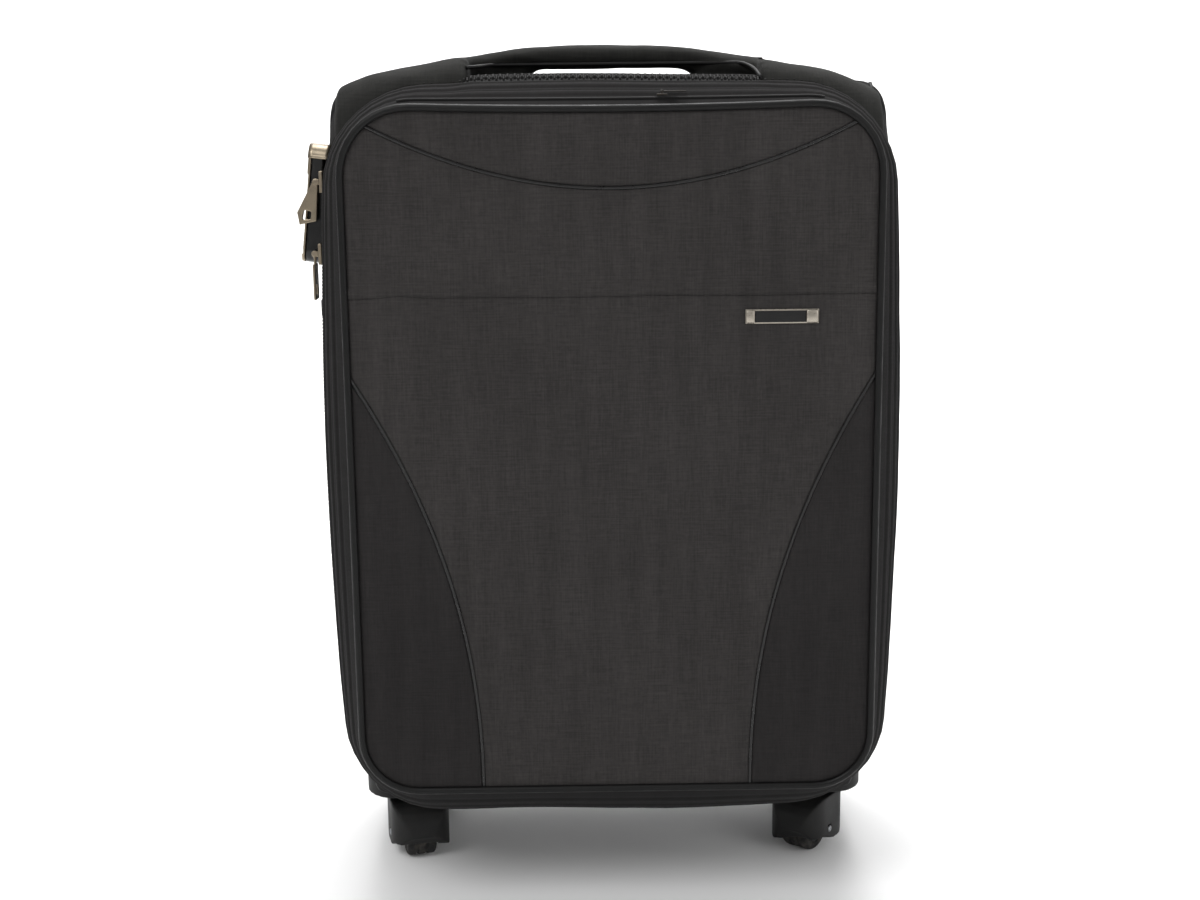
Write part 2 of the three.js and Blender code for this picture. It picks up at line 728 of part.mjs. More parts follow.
function lockCase() {
  const body = extrudeIn(lockOutline(0), 0, LOCK.thickness);
  const frameSeat = cut(
    extrudeIn(lockOutline(-PASS), -PASS, LOCK_FRAME.depth + GAP),
    extrudeIn(lockOutline(LOCK_FRAME.rim + GAP), -2 * PASS, 2 * PASS),
  );
  const dialRoom = dialPlaces().map((z) => (
    rod('z', DIAL.radius + GAP, DIAL.width + 2 * GAP, [DIAL.radius - DIAL.proud, 0, z], 20)
  ));
  const { width, length, travel, depth, proud, z } = LOCK_BUTTON;
  const buttonRoom = block(
    [-PASS, -width / 2 - GAP, z - length / 2 - GAP],
    [depth - proud + travel + GAP, width / 2 + GAP, z + length / 2 + GAP],
  );
  const lock = cut(body, frameSeat, ...dialRoom, buttonRoom).applyMatrix4(lockPlacement());
  const ring = loft([
    outline({ ...TUB_MOUTH, y: RING_FRONT - 5 }, -GAP),
    outline(TUB_MOUTH, -GAP, RING_BACK + 9),
  ]);
  return cut(lock, ring);
}

function lockBezel() {
  return cut(
    extrudeIn(lockOutline(0), 0, LOCK_FRAME.depth),
    extrudeIn(lockOutline(LOCK_FRAME.rim), -PASS, LOCK_FRAME.depth + PASS),
  ).applyMatrix4(lockPlacement());
}

function lockDial(z) {
  const centre = [DIAL.radius - DIAL.proud, 0, z];
  return rod('z', DIAL.radius, DIAL.width, centre, 20).applyMatrix4(lockPlacement());
}

function lockButton() {
  const { width, length, depth, proud, z } = LOCK_BUTTON;
  return block([-proud, -width / 2, z - length / 2], [depth - proud, width / 2, z + length / 2])
    .applyMatrix4(lockPlacement());
}

// ---------------------------------------------------------------- lid

const PANEL = 2; // thickness of a front panel
const PANEL_GAP = GAP;
const PIPING_RADIUS = 2.3;
const PANEL_INSET = PIPING_RADIUS + GAP;
const SMILE = { low: FRONT_TOP - 49, rise: 39, half: SEAM.half - 11.5 };
const POCKET_EDGE = FRONT_TOP - 111;
const SIDE_CURVE = {
  inner: SEAM.half - 75,
  spread: 76,
  from: FRONT_BOTTOM,
  to: FRONT_BOTTOM + 265,
  power: 2.2,
};
const FAR = 400; // past the panel in every direction

function lidShell() {
  const shares = [1, 0.6, 0.25];
  return loft([
    outline(lidStation(0)),
    ...shares.toReversed().map((share) => outline(lidStation(share))),
    ...shares.map((share) => outline(lidStation(share), LID_WALL)),
    outline(lidStation(0), LID_WALL, LID_WALL),
  ]);
}

const smileHeight = (x) => SMILE.low + SMILE.rise * (x / SMILE.half) ** 2;

function sideCurveAt(z) {
  const share = Math.max((z - SIDE_CURVE.from) / (SIDE_CURVE.to - SIDE_CURVE.from), 0);
  return SIDE_CURVE.inner + SIDE_CURVE.spread * share ** SIDE_CURVE.power;
}

// The points of a curve, stepped evenly between two values.
function curve(from, to, steps, at) {
  return Array.from({ length: steps + 1 }, (_, i) => new THREE.Vector2(...at(mix(from, to, i / steps))));
}

function frontPanel(region) {
  const inside = outline(SEAM, PANEL_INSET).map((point) => new THREE.Vector2(point.x, point.z));
  const slab = extrudeBack(new THREE.Shape(inside), -PANEL - GAP, -GAP);
  const area = extrudeBack(new THREE.Shape(region), -PANEL - 2, 2);
  return common(slab, area);
}

function yokePanel() {
  const smile = curve(-HALF, HALF, 16, (x) => [x, smileHeight(x) + PANEL_GAP / 2]);
  return frontPanel([...smile, new THREE.Vector2(HALF, FAR * 2), new THREE.Vector2(-HALF, FAR * 2)]);
}

function upperPanel() {
  const smile = curve(HALF, -HALF, 16, (x) => [x, smileHeight(x) - PANEL_GAP / 2]);
  const low = POCKET_EDGE + PANEL_GAP / 2;
  return frontPanel([new THREE.Vector2(-HALF, low), new THREE.Vector2(HALF, low), ...smile]);
}

function pocketPanel() {
  const high = POCKET_EDGE - PANEL_GAP / 2;
  const edge = (side) => (z) => [side * (sideCurveAt(z) - PANEL_GAP / 2), z];
  const left = curve(SIDE_CURVE.to + 2, SIDE_CURVE.from - 2, 12, edge(-1));
  const right = curve(SIDE_CURVE.from - 2, SIDE_CURVE.to + 2, 12, edge(1));
  return frontPanel([new THREE.Vector2(-HALF, high), ...left, ...right, new THREE.Vector2(HALF, high)]);
}

function sidePanel(side) {
  const edge = (z) => [side * (sideCurveAt(z) + PANEL_GAP / 2), z];
  const top = new THREE.Vector2(side * HALF, SIDE_CURVE.to + 2);
  const foot = new THREE.Vector2(side * HALF, SIDE_CURVE.from - 2);
  return frontPanel([foot, top, ...curve(SIDE_CURVE.to + 1, SIDE_CURVE.from - 2, 12, edge)]);
}

// A round cord of piping along the front seam.
function frontPiping() {
  const sides = 8;
  const loops = Array.from({ length: sides }, (_, i) => {
    const angle = (i / sides) * 2 * Math.PI;
    const inset = PIPING_RADIUS * Math.cos(angle);
    return outline(SEAM, inset, -PIPING_RADIUS - GAP + PIPING_RADIUS * Math.sin(angle));
  });
  return loft(loops, true);
}

const BADGE = { x: SEAM.half - 58.2, z: POCKET_EDGE - 14.1, width: 43.6, height: 8.6, thickness: 1.5 };

function badgePlate() {
  const plate = new THREE.Shape([
    new THREE.Vector2(-BADGE.width / 2, -BADGE.height / 2),
    new THREE.Vector2(BADGE.width / 2, -BADGE.height / 2),
    new THREE.Vector2(BADGE.width / 2, BADGE.height / 2),
    new THREE.Vector2(-BADGE.width / 2, BADGE.height / 2),
  ]);
  const face = -PANEL - 2 * GAP;
  return moved(extrudeBack(plate, face - BADGE.thickness, face), BADGE.x, 0, BADGE.z);
}

// ---------------------------------------------------------------- zip sliders and pullers

const SLIDER = {
  length: 13,
  width: 8,
  thickness: 2.4,
  ear: 1.3,
  earGap: 2.6,
  barHeight: 3.8,
  barRadius: 0.8,
};
const PULLER = { length: 28, width: 13, thickness: 1.6, eye: 2.1 };

// A slider lies on a side wall: base on the wall at X = 0, +X outwards, its bar along Y.
function zipSlider() {
  const { length, width, thickness, ear, earGap, barHeight, barRadius } = SLIDER;
  const base = block([0, -width / 2, -length / 2], [thickness, width / 2, length / 2]);
  const ears = [-1, 1].map((side) => block(
    [thickness - 0.5, side > 0 ? earGap / 2 + 0.2 : -earGap / 2 - 0.2 - ear, -1.6],
    [thickness + barHeight, side > 0 ? earGap / 2 + 0.2 + ear : -earGap / 2 - 0.2, 1.6],
  ));
  const bar = rod('y', barRadius, earGap + 2 * ear, [thickness + barHeight - 1.2, 0, 0], 12);
  return join(base, ...ears, bar);
}

const BAR_X = SLIDER.thickness + SLIDER.barHeight - 1.2;

function pullerEye() {
  const { eye } = PULLER;
  const outer = rod('y', eye, SLIDER.earGap - 0.2, [0, 0, 0], 16);
  return { outer, hole: rod('y', SLIDER.barRadius + GAP, PULLER.width + 2, [0, 0, 0], 16) };
}

// A flat tab hanging from its eye, lying along the wall.
function flatPuller() {
  const { length, width, thickness } = PULLER;
  const { outer, hole } = pullerEye();
  const neck = block([-thickness / 2, -1.2, -7], [thickness / 2, 1.2, -1.5]);
  const tab = block([-thickness / 2, -width / 2, -length], [thickness / 2, width / 2, -6]);
  const window = block([-thickness, -width / 2 + 3, -length + 3], [thickness, width / 2 - 3, -length + 9]);
  return cut(join(outer, neck, tab), hole, window);
}

// A teardrop tab turned edge-on to the wall, so that its face looks to the front.
function teardropPuller() {
  const { length, width, eye } = PULLER;
  const drop = new THREE.Shape([
    new THREE.Vector2(eye * 0.8, 0),
    new THREE.Vector2(width / 2, 7 - length),
    new THREE.Vector2(width / 4, -length),
    new THREE.Vector2(-width / 2, 5 - length),
    new THREE.Vector2(-eye * 0.8, 0),
  ]);
  const window = new THREE.Shape([
    new THREE.Vector2(2.6, 9.5 - length),
    new THREE.Vector2(2.2, 3.6 - length),
    new THREE.Vector2(-2.6, 5.2 - length),
    new THREE.Vector2(-1.8, 9.8 - length),
  ]);
  const half = SLIDER.earGap / 2 - 0.2;
  const { outer, hole } = pullerEye();
  const opening = extrudeBack(window, -half - PASS, half + PASS);
  return cut(join(extrudeBack(drop, -half, half), outer), hole, opening);
}

// Side walls at a height: where the case outline stands at that depth.
function wallAt(station, z) {
  const points = outline(station).filter((point) => point.x > 0).sort((a, b) => a.z - b.z);
  const above = points.findIndex((point) => point.z > z);
  const [low, high] = [points[above - 1], points[above]];
  return mix(low.x, high.x, (z - low.z) / (high.z - low.z));
}

function zipPull(name, side, y, z, puller, hang, station) {
  const group = new THREE.Group();
  group.position.set(side * (wallAt(station, z) + 1), y, z);
  group.rotation.z = side < 0 ? Math.PI : 0;
  const tab = part(name.replace('slider', 'puller'), puller, BRONZE_METAL);
  tab.position.set(BAR_X, 0, 0);
  tab.rotation.y = -THREE.MathUtils.degToRad(hang);
  group.add(part(name, zipSlider(), BRONZE_METAL), tab);
  return group;
}

// ---------------------------------------------------------------- assembly

const UPPER_SLIDER_Z = CASE_TOP - 57;
const LOWER_SLIDER_Z = CASE_TOP - 101;
const EXPANSION_SLIDER_Z = CASE_BOTTOM + 169;
const POCKET_SLIDER = { x: 30, share: 0.2, scale: 0.5, lift: 0.6 };

function pocketPull() {
  const group = new THREE.Group();
  const station = lidStation(POCKET_SLIDER.share);
  const top = station.top + Math.max(station.crown, 0) + POCKET_SLIDER.lift;
  group.position.set(POCKET_SLIDER.x, station.y, top);
  group.rotation.y = -Math.PI / 2;
  group.scale.setScalar(POCKET_SLIDER.scale);
  const tab = part('pocket_puller', flatPuller(), STEEL);
  tab.position.set(BAR_X, 0, 0);
  group.add(part('pocket_slider', zipSlider(), STEEL), tab);
  return group;
}

const suitcase = new THREE.Group();
suitcase.add(
  part('body_tub', bodyTub(), FABRIC_DARK),
  part('frame_hoop', frameHoop(), STEEL),
  part('back_board', backBoard(), BOARD_PLASTIC),
  part('base_tray', baseTray(), MATTE_PLASTIC),
  part('lining', lining(), LINING_FABRIC),
  part('top_handle', topHandle(), SADDLE_FABRIC),
  part('side_handle', sideHandle(), VINYL),
  part('side_handle_bracket_upper', sideHandleBracket(SIDE_HANDLE.high, 1), MATTE_PLASTIC),
  part('side_handle_bracket_lower', sideHandleBracket(SIDE_HANDLE.low, -1), MATTE_PLASTIC),
);
suitcase.add(...CASTERS.map(casterAssembly));
suitcase.add(
  part('trolley_bezel', trolleyBezel(), MATTE_PLASTIC),
  part('trolley_foot', trolleyFoot(), BOARD_PLASTIC),
  part('trolley_tube_left', outerTube(-1), ALUMINIUM),
  part('trolley_tube_right', outerTube(1), ALUMINIUM),
  part('mid_tube_left', midTube(-1), ALUMINIUM),
  part('mid_tube_right', midTube(1), ALUMINIUM),
  part('top_tube_left', topTube(-1), ALUMINIUM),
  part('top_tube_right', topTube(1), ALUMINIUM),
  part('trolley_grip', trolleyGrip(), MATTE_PLASTIC),
  part('trolley_button', trolleyButton(), GLOSS_PLASTIC),
);
suitcase.add(
  part('gusset_ring', gussetRing(), FABRIC_DARK),
  part('case_zip_chain', caseZipChain(), ZIP_COIL),
  part('lock_case', lockCase(), GLOSS_PLASTIC),
  part('lock_bezel', lockBezel(), CHROME),
  ...dialPlaces().map((z, i) => part(`lock_dial_${i + 1}`, lockDial(z), MATTE_PLASTIC)),
  part('lock_button', lockButton(), BRONZE_METAL),
);
suitcase.add(
  part('lid_shell', lidShell(), FABRIC_DARK),
  part('lid_zip_chain', lidZipChain(), ZIP_COIL),
  part('yoke_panel', yokePanel(), FABRIC),
  part('upper_panel', upperPanel(), FABRIC),
  part('pocket_panel', pocketPanel(), FABRIC),
  part('side_panel_left', sidePanel(-1), PANEL_SIDE),
  part('side_panel_right', sidePanel(1), PANEL_SIDE),
  part('front_piping', frontPiping(), VINYL),
  part('badge_plate', badgePlate(), BRONZE_METAL),
);
suitcase.add(
  zipPull('main_slider_upper', -1, ZIP_SPLIT, UPPER_SLIDER_Z, teardropPuller(), 16, MOUTH),
  zipPull('main_slider_lower', -1, ZIP_SPLIT, LOWER_SLIDER_Z, flatPuller(), 0, MOUTH),
  zipPull('expansion_slider', 1, RING_BACK, EXPANSION_SLIDER_Z, flatPuller(), 0, TUB_MOUTH),
  pocketPull(),
);

// The origin is the middle of the floor under the whole suitcase.
suitcase.updateMatrixWorld(true);
const bounds = new THREE.Box3().setFromObject(suitcase, true);
const middle = bounds.getCenter(new THREE.Vector3());
const placed = new THREE.Group();
suitcase.position.set(-middle.x, -middle.y, -bounds.min.z);
placed.add(suitcase);

export default placed;
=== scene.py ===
"""Looks of the softside upright suitcase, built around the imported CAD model."""
import json
import math
from collections import namedtuple

import bmesh
import bpy
from mathutils import Matrix, Vector, noise


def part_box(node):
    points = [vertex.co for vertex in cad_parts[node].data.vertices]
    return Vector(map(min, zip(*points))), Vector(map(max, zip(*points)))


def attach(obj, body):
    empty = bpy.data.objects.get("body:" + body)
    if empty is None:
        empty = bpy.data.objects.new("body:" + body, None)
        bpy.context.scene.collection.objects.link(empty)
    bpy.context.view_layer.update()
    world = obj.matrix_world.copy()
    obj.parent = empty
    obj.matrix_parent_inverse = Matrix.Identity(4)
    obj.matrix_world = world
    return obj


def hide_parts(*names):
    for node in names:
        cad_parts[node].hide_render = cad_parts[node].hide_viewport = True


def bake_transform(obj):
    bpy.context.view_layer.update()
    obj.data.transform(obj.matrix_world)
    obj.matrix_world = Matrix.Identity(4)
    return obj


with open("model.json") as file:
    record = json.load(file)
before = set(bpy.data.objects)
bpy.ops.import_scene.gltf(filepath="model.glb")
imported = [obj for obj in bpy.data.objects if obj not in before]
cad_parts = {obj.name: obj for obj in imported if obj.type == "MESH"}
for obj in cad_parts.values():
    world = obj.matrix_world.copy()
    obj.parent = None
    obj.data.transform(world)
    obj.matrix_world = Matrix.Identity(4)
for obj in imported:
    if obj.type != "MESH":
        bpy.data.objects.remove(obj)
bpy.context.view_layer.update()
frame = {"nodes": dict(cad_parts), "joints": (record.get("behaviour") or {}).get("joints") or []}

# ---------------------------------------------------------------- sizes
# Sizes are in millimetres: X from the middle of the case, Y back from the front seam, Z up.

MM = 0.001
CENTRE_X = (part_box("body_tub")[0][0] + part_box("body_tub")[1][0]) / 2
SEAM_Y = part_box("lid_shell")[0][1]


def row(x, y, z):
    """Case millimetres to metres in the shared frame."""
    return Vector((CENTRE_X + x * MM, SEAM_Y + y * MM, z * MM))


def case_box(node):
    """A CAD node's lowest and highest corners in case millimetres."""
    return [
        Vector(((c[0] - CENTRE_X) / MM, (c[1] - SEAM_Y) / MM, c[2] / MM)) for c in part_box(node)
    ]


LID_BACK = case_box("lid_shell")[1].y
RING_FRONT, RING_BACK = (corner.y for corner in case_box("gusset_ring"))
TUB_FRONT, TUB_BACK = (corner.y for corner in case_box("body_tub"))
ZIP_SPLIT = (LID_BACK + RING_FRONT) / 2
CREST_TOP = case_box("top_handle")[1].z
TRAY_FRONT = case_box("base_tray")[0].y

Station = namedtuple("Station", "y half bottom top low_corner high_corner swell crown sag")
SEAM = Station(0, 158.5, 92, 513.5, 35, 42, 0, -3.5, 0)
MOUTH = Station(LID_BACK, 171, 63.5, 523, 58, 58, 9, 4, 3.5)
TUB_MOUTH = Station(RING_BACK, 174, 53, 525, 45, 15, 6, 5, 3)
TUB_END = Station(TUB_BACK, 170, 53, 522, 32, 18, 3, 0, 0)
LID_BULGE = 1.7

PIPING_RADIUS = 2.3
CORD_RADIUS = 1.15  # piping along the seams of the front panel
PIPING_Y = -PIPING_RADIUS - 0.3
SMILE_LOW = SEAM.top - 49
SMILE_RISE = 39
SMILE_HALF = SEAM.half - 11.5
POCKET_EDGE = SEAM.top - 111
CURVE_INNER = SEAM.half - 75
CURVE_SPREAD = 76
CURVE_HEIGHT = 265
CURVE_POWER = 2.2

TOOTH_PITCH = 2.2
HAND_NOTCH = (-86, 92)  # the opening in the front of the handle
HAND_GAP = (-58, 62)  # the way through behind it
ZIP_PUFF = (2.6, 1.0)  # how far the zip bulges up at the left and right of the opening


def mix(a, b, share):
    return a + (b - a) * share


def between(a, b, share, bulge=None):
    """The station a share of the way from a to b; the width and height follow the bulge."""
    bulge = share if bulge is None else bulge
    values = [mix(p, q, bulge) for p, q in zip(a, b)]
    return Station(mix(a.y, b.y, share), *values[1:])


def lid_station(share):
    return between(SEAM, MOUTH, share, 1 - (1 - share) ** LID_BULGE)


def ring_station(share):
    return between(MOUTH._replace(y=RING_FRONT), TUB_MOUTH, share)


def tub_station(share):
    return between(TUB_MOUTH._replace(y=TUB_FRONT), TUB_END, share)


def eased(share):
    share = min(max(share, 0), 1)
    return share * share * (3 - 2 * share)


def notch_share(x):
    """1 inside the opening of the handle, falling to 0 just outside it."""
    away = max(HAND_NOTCH[0] + 6 - x, x - HAND_NOTCH[1] + 6, 0)
    return 1 - eased(away / 18)


ZIP_SLANT = 0.55  # how steeply the zip climbs towards the back inside the opening


def zip_rise(x, y):
    """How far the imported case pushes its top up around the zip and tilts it, inside the opening."""
    across = eased((x - HAND_NOTCH[0]) / (HAND_NOTCH[1] - HAND_NOTCH[0]))
    depth = eased(y / ZIP_SPLIT) if y < ZIP_SPLIT else 1 - eased((y - ZIP_SPLIT) / 26)
    tilt = ZIP_SLANT * (min(max(y, LID_BACK), RING_FRONT) - ZIP_SPLIT)
    tilt *= eased((y - 28) / 16) * (1 - eased((y - RING_FRONT) / 20))
    return (mix(*ZIP_PUFF, across) * depth + tilt) * notch_share(x)


def spread(start, end, count):
    return [mix(start, end, i / (count - 1)) for i in range(count)]


def full_turn(count):
    """Equal angles around a circle."""
    return [2 * math.pi * i / count for i in range(count)]


def rounded(level, radius, past):
    """A level that falls away along a rounded corner, past the corner's start."""
    past = min(max(past, 0), radius)
    return level - radius + math.sqrt(radius ** 2 - past ** 2)


SIDE_STEPS = 56
ACROSS_STEPS = 22
CORNER_STEPS = 9


def outline(station, inset=0.0):
    """One loop around the case, from the middle of the bottom, counter-clockwise from the front."""
    half, bottom, top = station.half - inset, station.bottom + inset, station.top - inset
    low = max(station.low_corner - inset, 1)
    high = max(station.high_corner - inset, 1)
    points = []

    def line(start, end, count):
        points.extend(
            (mix(start[0], end[0], i / count), mix(start[1], end[1], i / count)) for i in range(count)
        )

    def corner(x, z, radius, first):
        for i in range(CORNER_STEPS):
            angle = math.radians(first + 90 * i / CORNER_STEPS)
            points.append((x + radius * math.cos(angle), z + radius * math.sin(angle)))

    line((0, bottom), (half - low, bottom), ACROSS_STEPS)
    corner(half - low, bottom + low, low, -90)
    line((half, bottom + low), (half, top - high), SIDE_STEPS)
    corner(half - high, top - high, high, 0)
    line((half - high, top), (high - half, top), 2 * ACROSS_STEPS)
    corner(high - half, top - high, high, 90)
    line((-half, top - high), (-half, bottom + low), SIDE_STEPS)
    corner(low - half, bottom + low, low, 180)
    line((low - half, bottom), (0, bottom), ACROSS_STEPS)

    middle = (bottom + top) / 2
    reach = (top - bottom) / 2
    bent = []
    for x, z in points:
        up = (z - middle) / reach
        out = x / half
        bow = station.crown if z > middle else -station.sag
        bent.append((
            x * (1 + station.swell / half * (1 - up * up)),
            station.y,
            z + bow * abs(up) * (1 - out * out),
        ))
    return bent


# ---------------------------------------------------------------- mesh helpers


def clump(x, y, z, size):
    """Smooth noise from -1 to 1 with features of a size in millimetres."""
    return noise.noise(Vector((x, y, z)) / size)


def linked(name, data):
    """A new object in the scene."""
    obj = bpy.data.objects.new(name, data)
    bpy.context.scene.collection.objects.link(obj)
    return obj


def add_mesh(name, points, faces, uvs=None, smooth=True):
    """A mesh object from case millimetres. uvs holds one list of (u, v) in millimetres for each face."""
    mesh = bpy.data.meshes.new(name)
    mesh.from_pydata([row(*p) for p in points], [], faces)
    if uvs:
        layer = mesh.uv_layers.new(name="cloth")
        flat = [value * MM for face in uvs for uv in face for value in uv]
        layer.data.foreach_set("uv", flat)
    if smooth:
        mesh.shade_smooth()
    mesh.update()
    return linked(name, mesh)


def lengths(points):
    total = [0.0]
    for a, b in zip(points, points[1:]):
        total.append(total[-1] + (Vector(b) - Vector(a)).length)
    return total


def skin(name, loops, wrap=True, flip=False, caps=False):
    """A surface through loops of equal length, with cloth coordinates along and across them."""
    count = len(loops[0])
    steps = count if wrap else count - 1
    middle = loops[len(loops) // 2]
    along = lengths(list(middle) + ([middle[0]] if wrap else []))
    across = lengths([loop[0] for loop in loops])
    faces, uvs = [], []
    for i in range(len(loops) - 1):
        for j in range(steps):
            k = (j + 1) % count
            face = [i * count + j, (i + 1) * count + j, (i + 1) * count + k, i * count + k]
            uv = [
                (along[j], across[i]),
                (along[j], across[i + 1]),
                (along[j + 1], across[i + 1]),
                (along[j + 1], across[i]),
            ]
            faces.append(face[::-1] if flip else face)
            uvs.append(uv[::-1] if flip else uv)
    if caps:
        for index, reverse in ((0, not flip), (len(loops) - 1, flip)):
            ring = [index * count + j for j in range(count)]
            uv = [(p[0], p[2]) for p in loops[index]]
            faces.append(ring[::-1] if not reverse else ring)
            uvs.append(uv[::-1] if not reverse else uv)
    return add_mesh(name, [p for loop in loops for p in loop], faces, uvs)


def closed_skin(name, loops, flip=False):
    obj = skin(name, loops, flip=flip, caps=True)
    weld(obj)
    return obj


def grid_faces(lines, count, turned=False):
    """Faces between lines of count points each."""
    faces = []
    for i in range(lines - 1):
        for j in range(count - 1):
            k = i * count + j
            face = [k, k + 1, k + count + 1, k + count]
            faces.append([face[0], *face[:0:-1]] if turned else face)
    return faces


def upright_mesh(name, points, faces):
    """A panel whose cloth coordinates are its X and Z."""
    return add_mesh(name, points, faces, [[(points[k][0], points[k][2]) for k in face] for face in faces])


def sheet_grid(name, xs, low, high, depth, rows):
    """An upright panel: columns at xs run from low(x) to high(x), and depth(x, z, u, v) gives Y."""
    points = []
    for i, x in enumerate(xs):
        for v in spread(0, 1, rows):
            z = mix(low(x), high(x), v)
            points.append((x, depth(x, z, i / (len(xs) - 1), v), z))
    return upright_mesh(name, points, grid_faces(len(xs), rows, turned=True))


def cross_grid(name, zs, left, right, depth, columns):
    """An upright panel: rows at zs run from left(z) to right(z)."""
    points = []
    for z in zs:
        for u in spread(0, 1, columns):
            x = mix(left(z), right(z), u)
            points.append((x, depth(x, z), z))
    return upright_mesh(name, points, grid_faces(len(zs), columns))


def sweep(name, path, radius, sides=12, closed=False, flatten=1.0, out=None):
    """A tube along a path. out(point) is the direction that a flattened tube's thin side faces."""
    count = len(path)
    spots = [Vector(p) for p in path]
    loops = []
    side = None
    for i, spot in enumerate(spots):
        ahead = spots[(i + 1) % count] if closed or i < count - 1 else spot
        behind = spots[i - 1] if closed or i > 0 else spot
        tangent = (ahead - behind).normalized()
        if out is not None:
            side = Vector(out(spot))
        elif side is None:
            side = tangent.orthogonal()
        side = (side - tangent * side.dot(tangent)).normalized()
        other = tangent.cross(side)
        loops.append([
            tuple(spot + side * (radius * flatten * math.cos(a)) + other * (radius * math.sin(a)))
            for a in full_turn(sides)
        ])
    if closed:
        loops.append(loops[0])
    obj = skin(name, loops, caps=not closed)
    if closed:
        weld(obj)
    return obj


def weld(obj, distance=1e-6):
    edit = bmesh.new()
    edit.from_mesh(obj.data)
    bmesh.ops.remove_doubles(edit, verts=edit.verts, dist=distance)
    bmesh.ops.recalc_face_normals(edit, faces=edit.faces)
    edit.to_mesh(obj.data)
    edit.free()


def thicken(obj, thickness, rim=True):
    """Gives a fabric sheet a thickness, inwards from its outer face."""
    solid = obj.modifiers.new("thickness", "SOLIDIFY")
    solid.thickness = thickness * MM
    solid.offset = -1
    solid.use_rim = rim


def soften(obj, levels=1):
    smoother = obj.modifiers.new("smooth", "SUBSURF")
    smoother.levels = levels
    smoother.render_levels = levels


def apply_modifiers(obj):
    graph = bpy.context.evaluated_depsgraph_get()
    mesh = bpy.data.meshes.new_from_object(obj.evaluated_get(graph))
    obj.modifiers.clear()
    obj.data = mesh
    mesh.shade_smooth()


def place(obj, body, material, replaces=()):
    """Says which body a piece rides on, its finish and what it stands for."""
    obj.data.materials.clear()
    obj.data.materials.append(material)
    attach(obj, body)
    if replaces:
        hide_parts(*replaces)
    return obj


def cord(name, path, radius, body, material, nodes=(), sides=12, closed=False):
    """A round piping cord along a path."""
    return place(sweep(name, path, radius, sides, closed), body, material, nodes)


def merged(name, objects):
    """Joins separate meshes into one object."""
    edit = bmesh.new()
    layer = edit.loops.layers.uv.new("cloth")
    for obj in objects:
        edit.from_mesh(obj.data)
    mesh = bpy.data.meshes.new(name)
    edit.to_mesh(mesh)
    edit.free()
    for obj in objects:
        bpy.data.objects.remove(obj)
    mesh.shade_smooth()
    return linked(name, mesh)


def moulded(name, node, voxel, rounds):
    """A copy of a CAD solid with its edges rounded off, as a moulding or casting has them."""
    source = frame["nodes"][node]
    mesh = source.data.copy()
    mesh.name = name
    obj = linked(name, mesh)
    obj.matrix_world = source.matrix_world
    remesh = obj.modifiers.new("remesh", "REMESH")
    remesh.mode = "VOXEL"
    remesh.voxel_size = voxel * MM
    smooth = obj.modifiers.new("rounding", "SMOOTH")
    smooth.iterations = rounds
    smooth.factor = 0.5
    apply_modifiers(obj)
    return obj


def cast(name, node, voxel, rounds, body, material):
    """A moulded copy that stands for its CAD solid."""
    return place(moulded(name, node, voxel, rounds), body, material, [node])


# ---------------------------------------------------------------- materials


def tone(code, gain=1.0):
    """A colour like #3b393a as linear values."""
    values = [int(code[i:i + 2], 16) / 255 for i in (1, 3, 5)]
    return [gain * (v / 12.92 if v < 0.04 else ((v + 0.055) / 1.055) ** 2.4) for v in values] + [1]


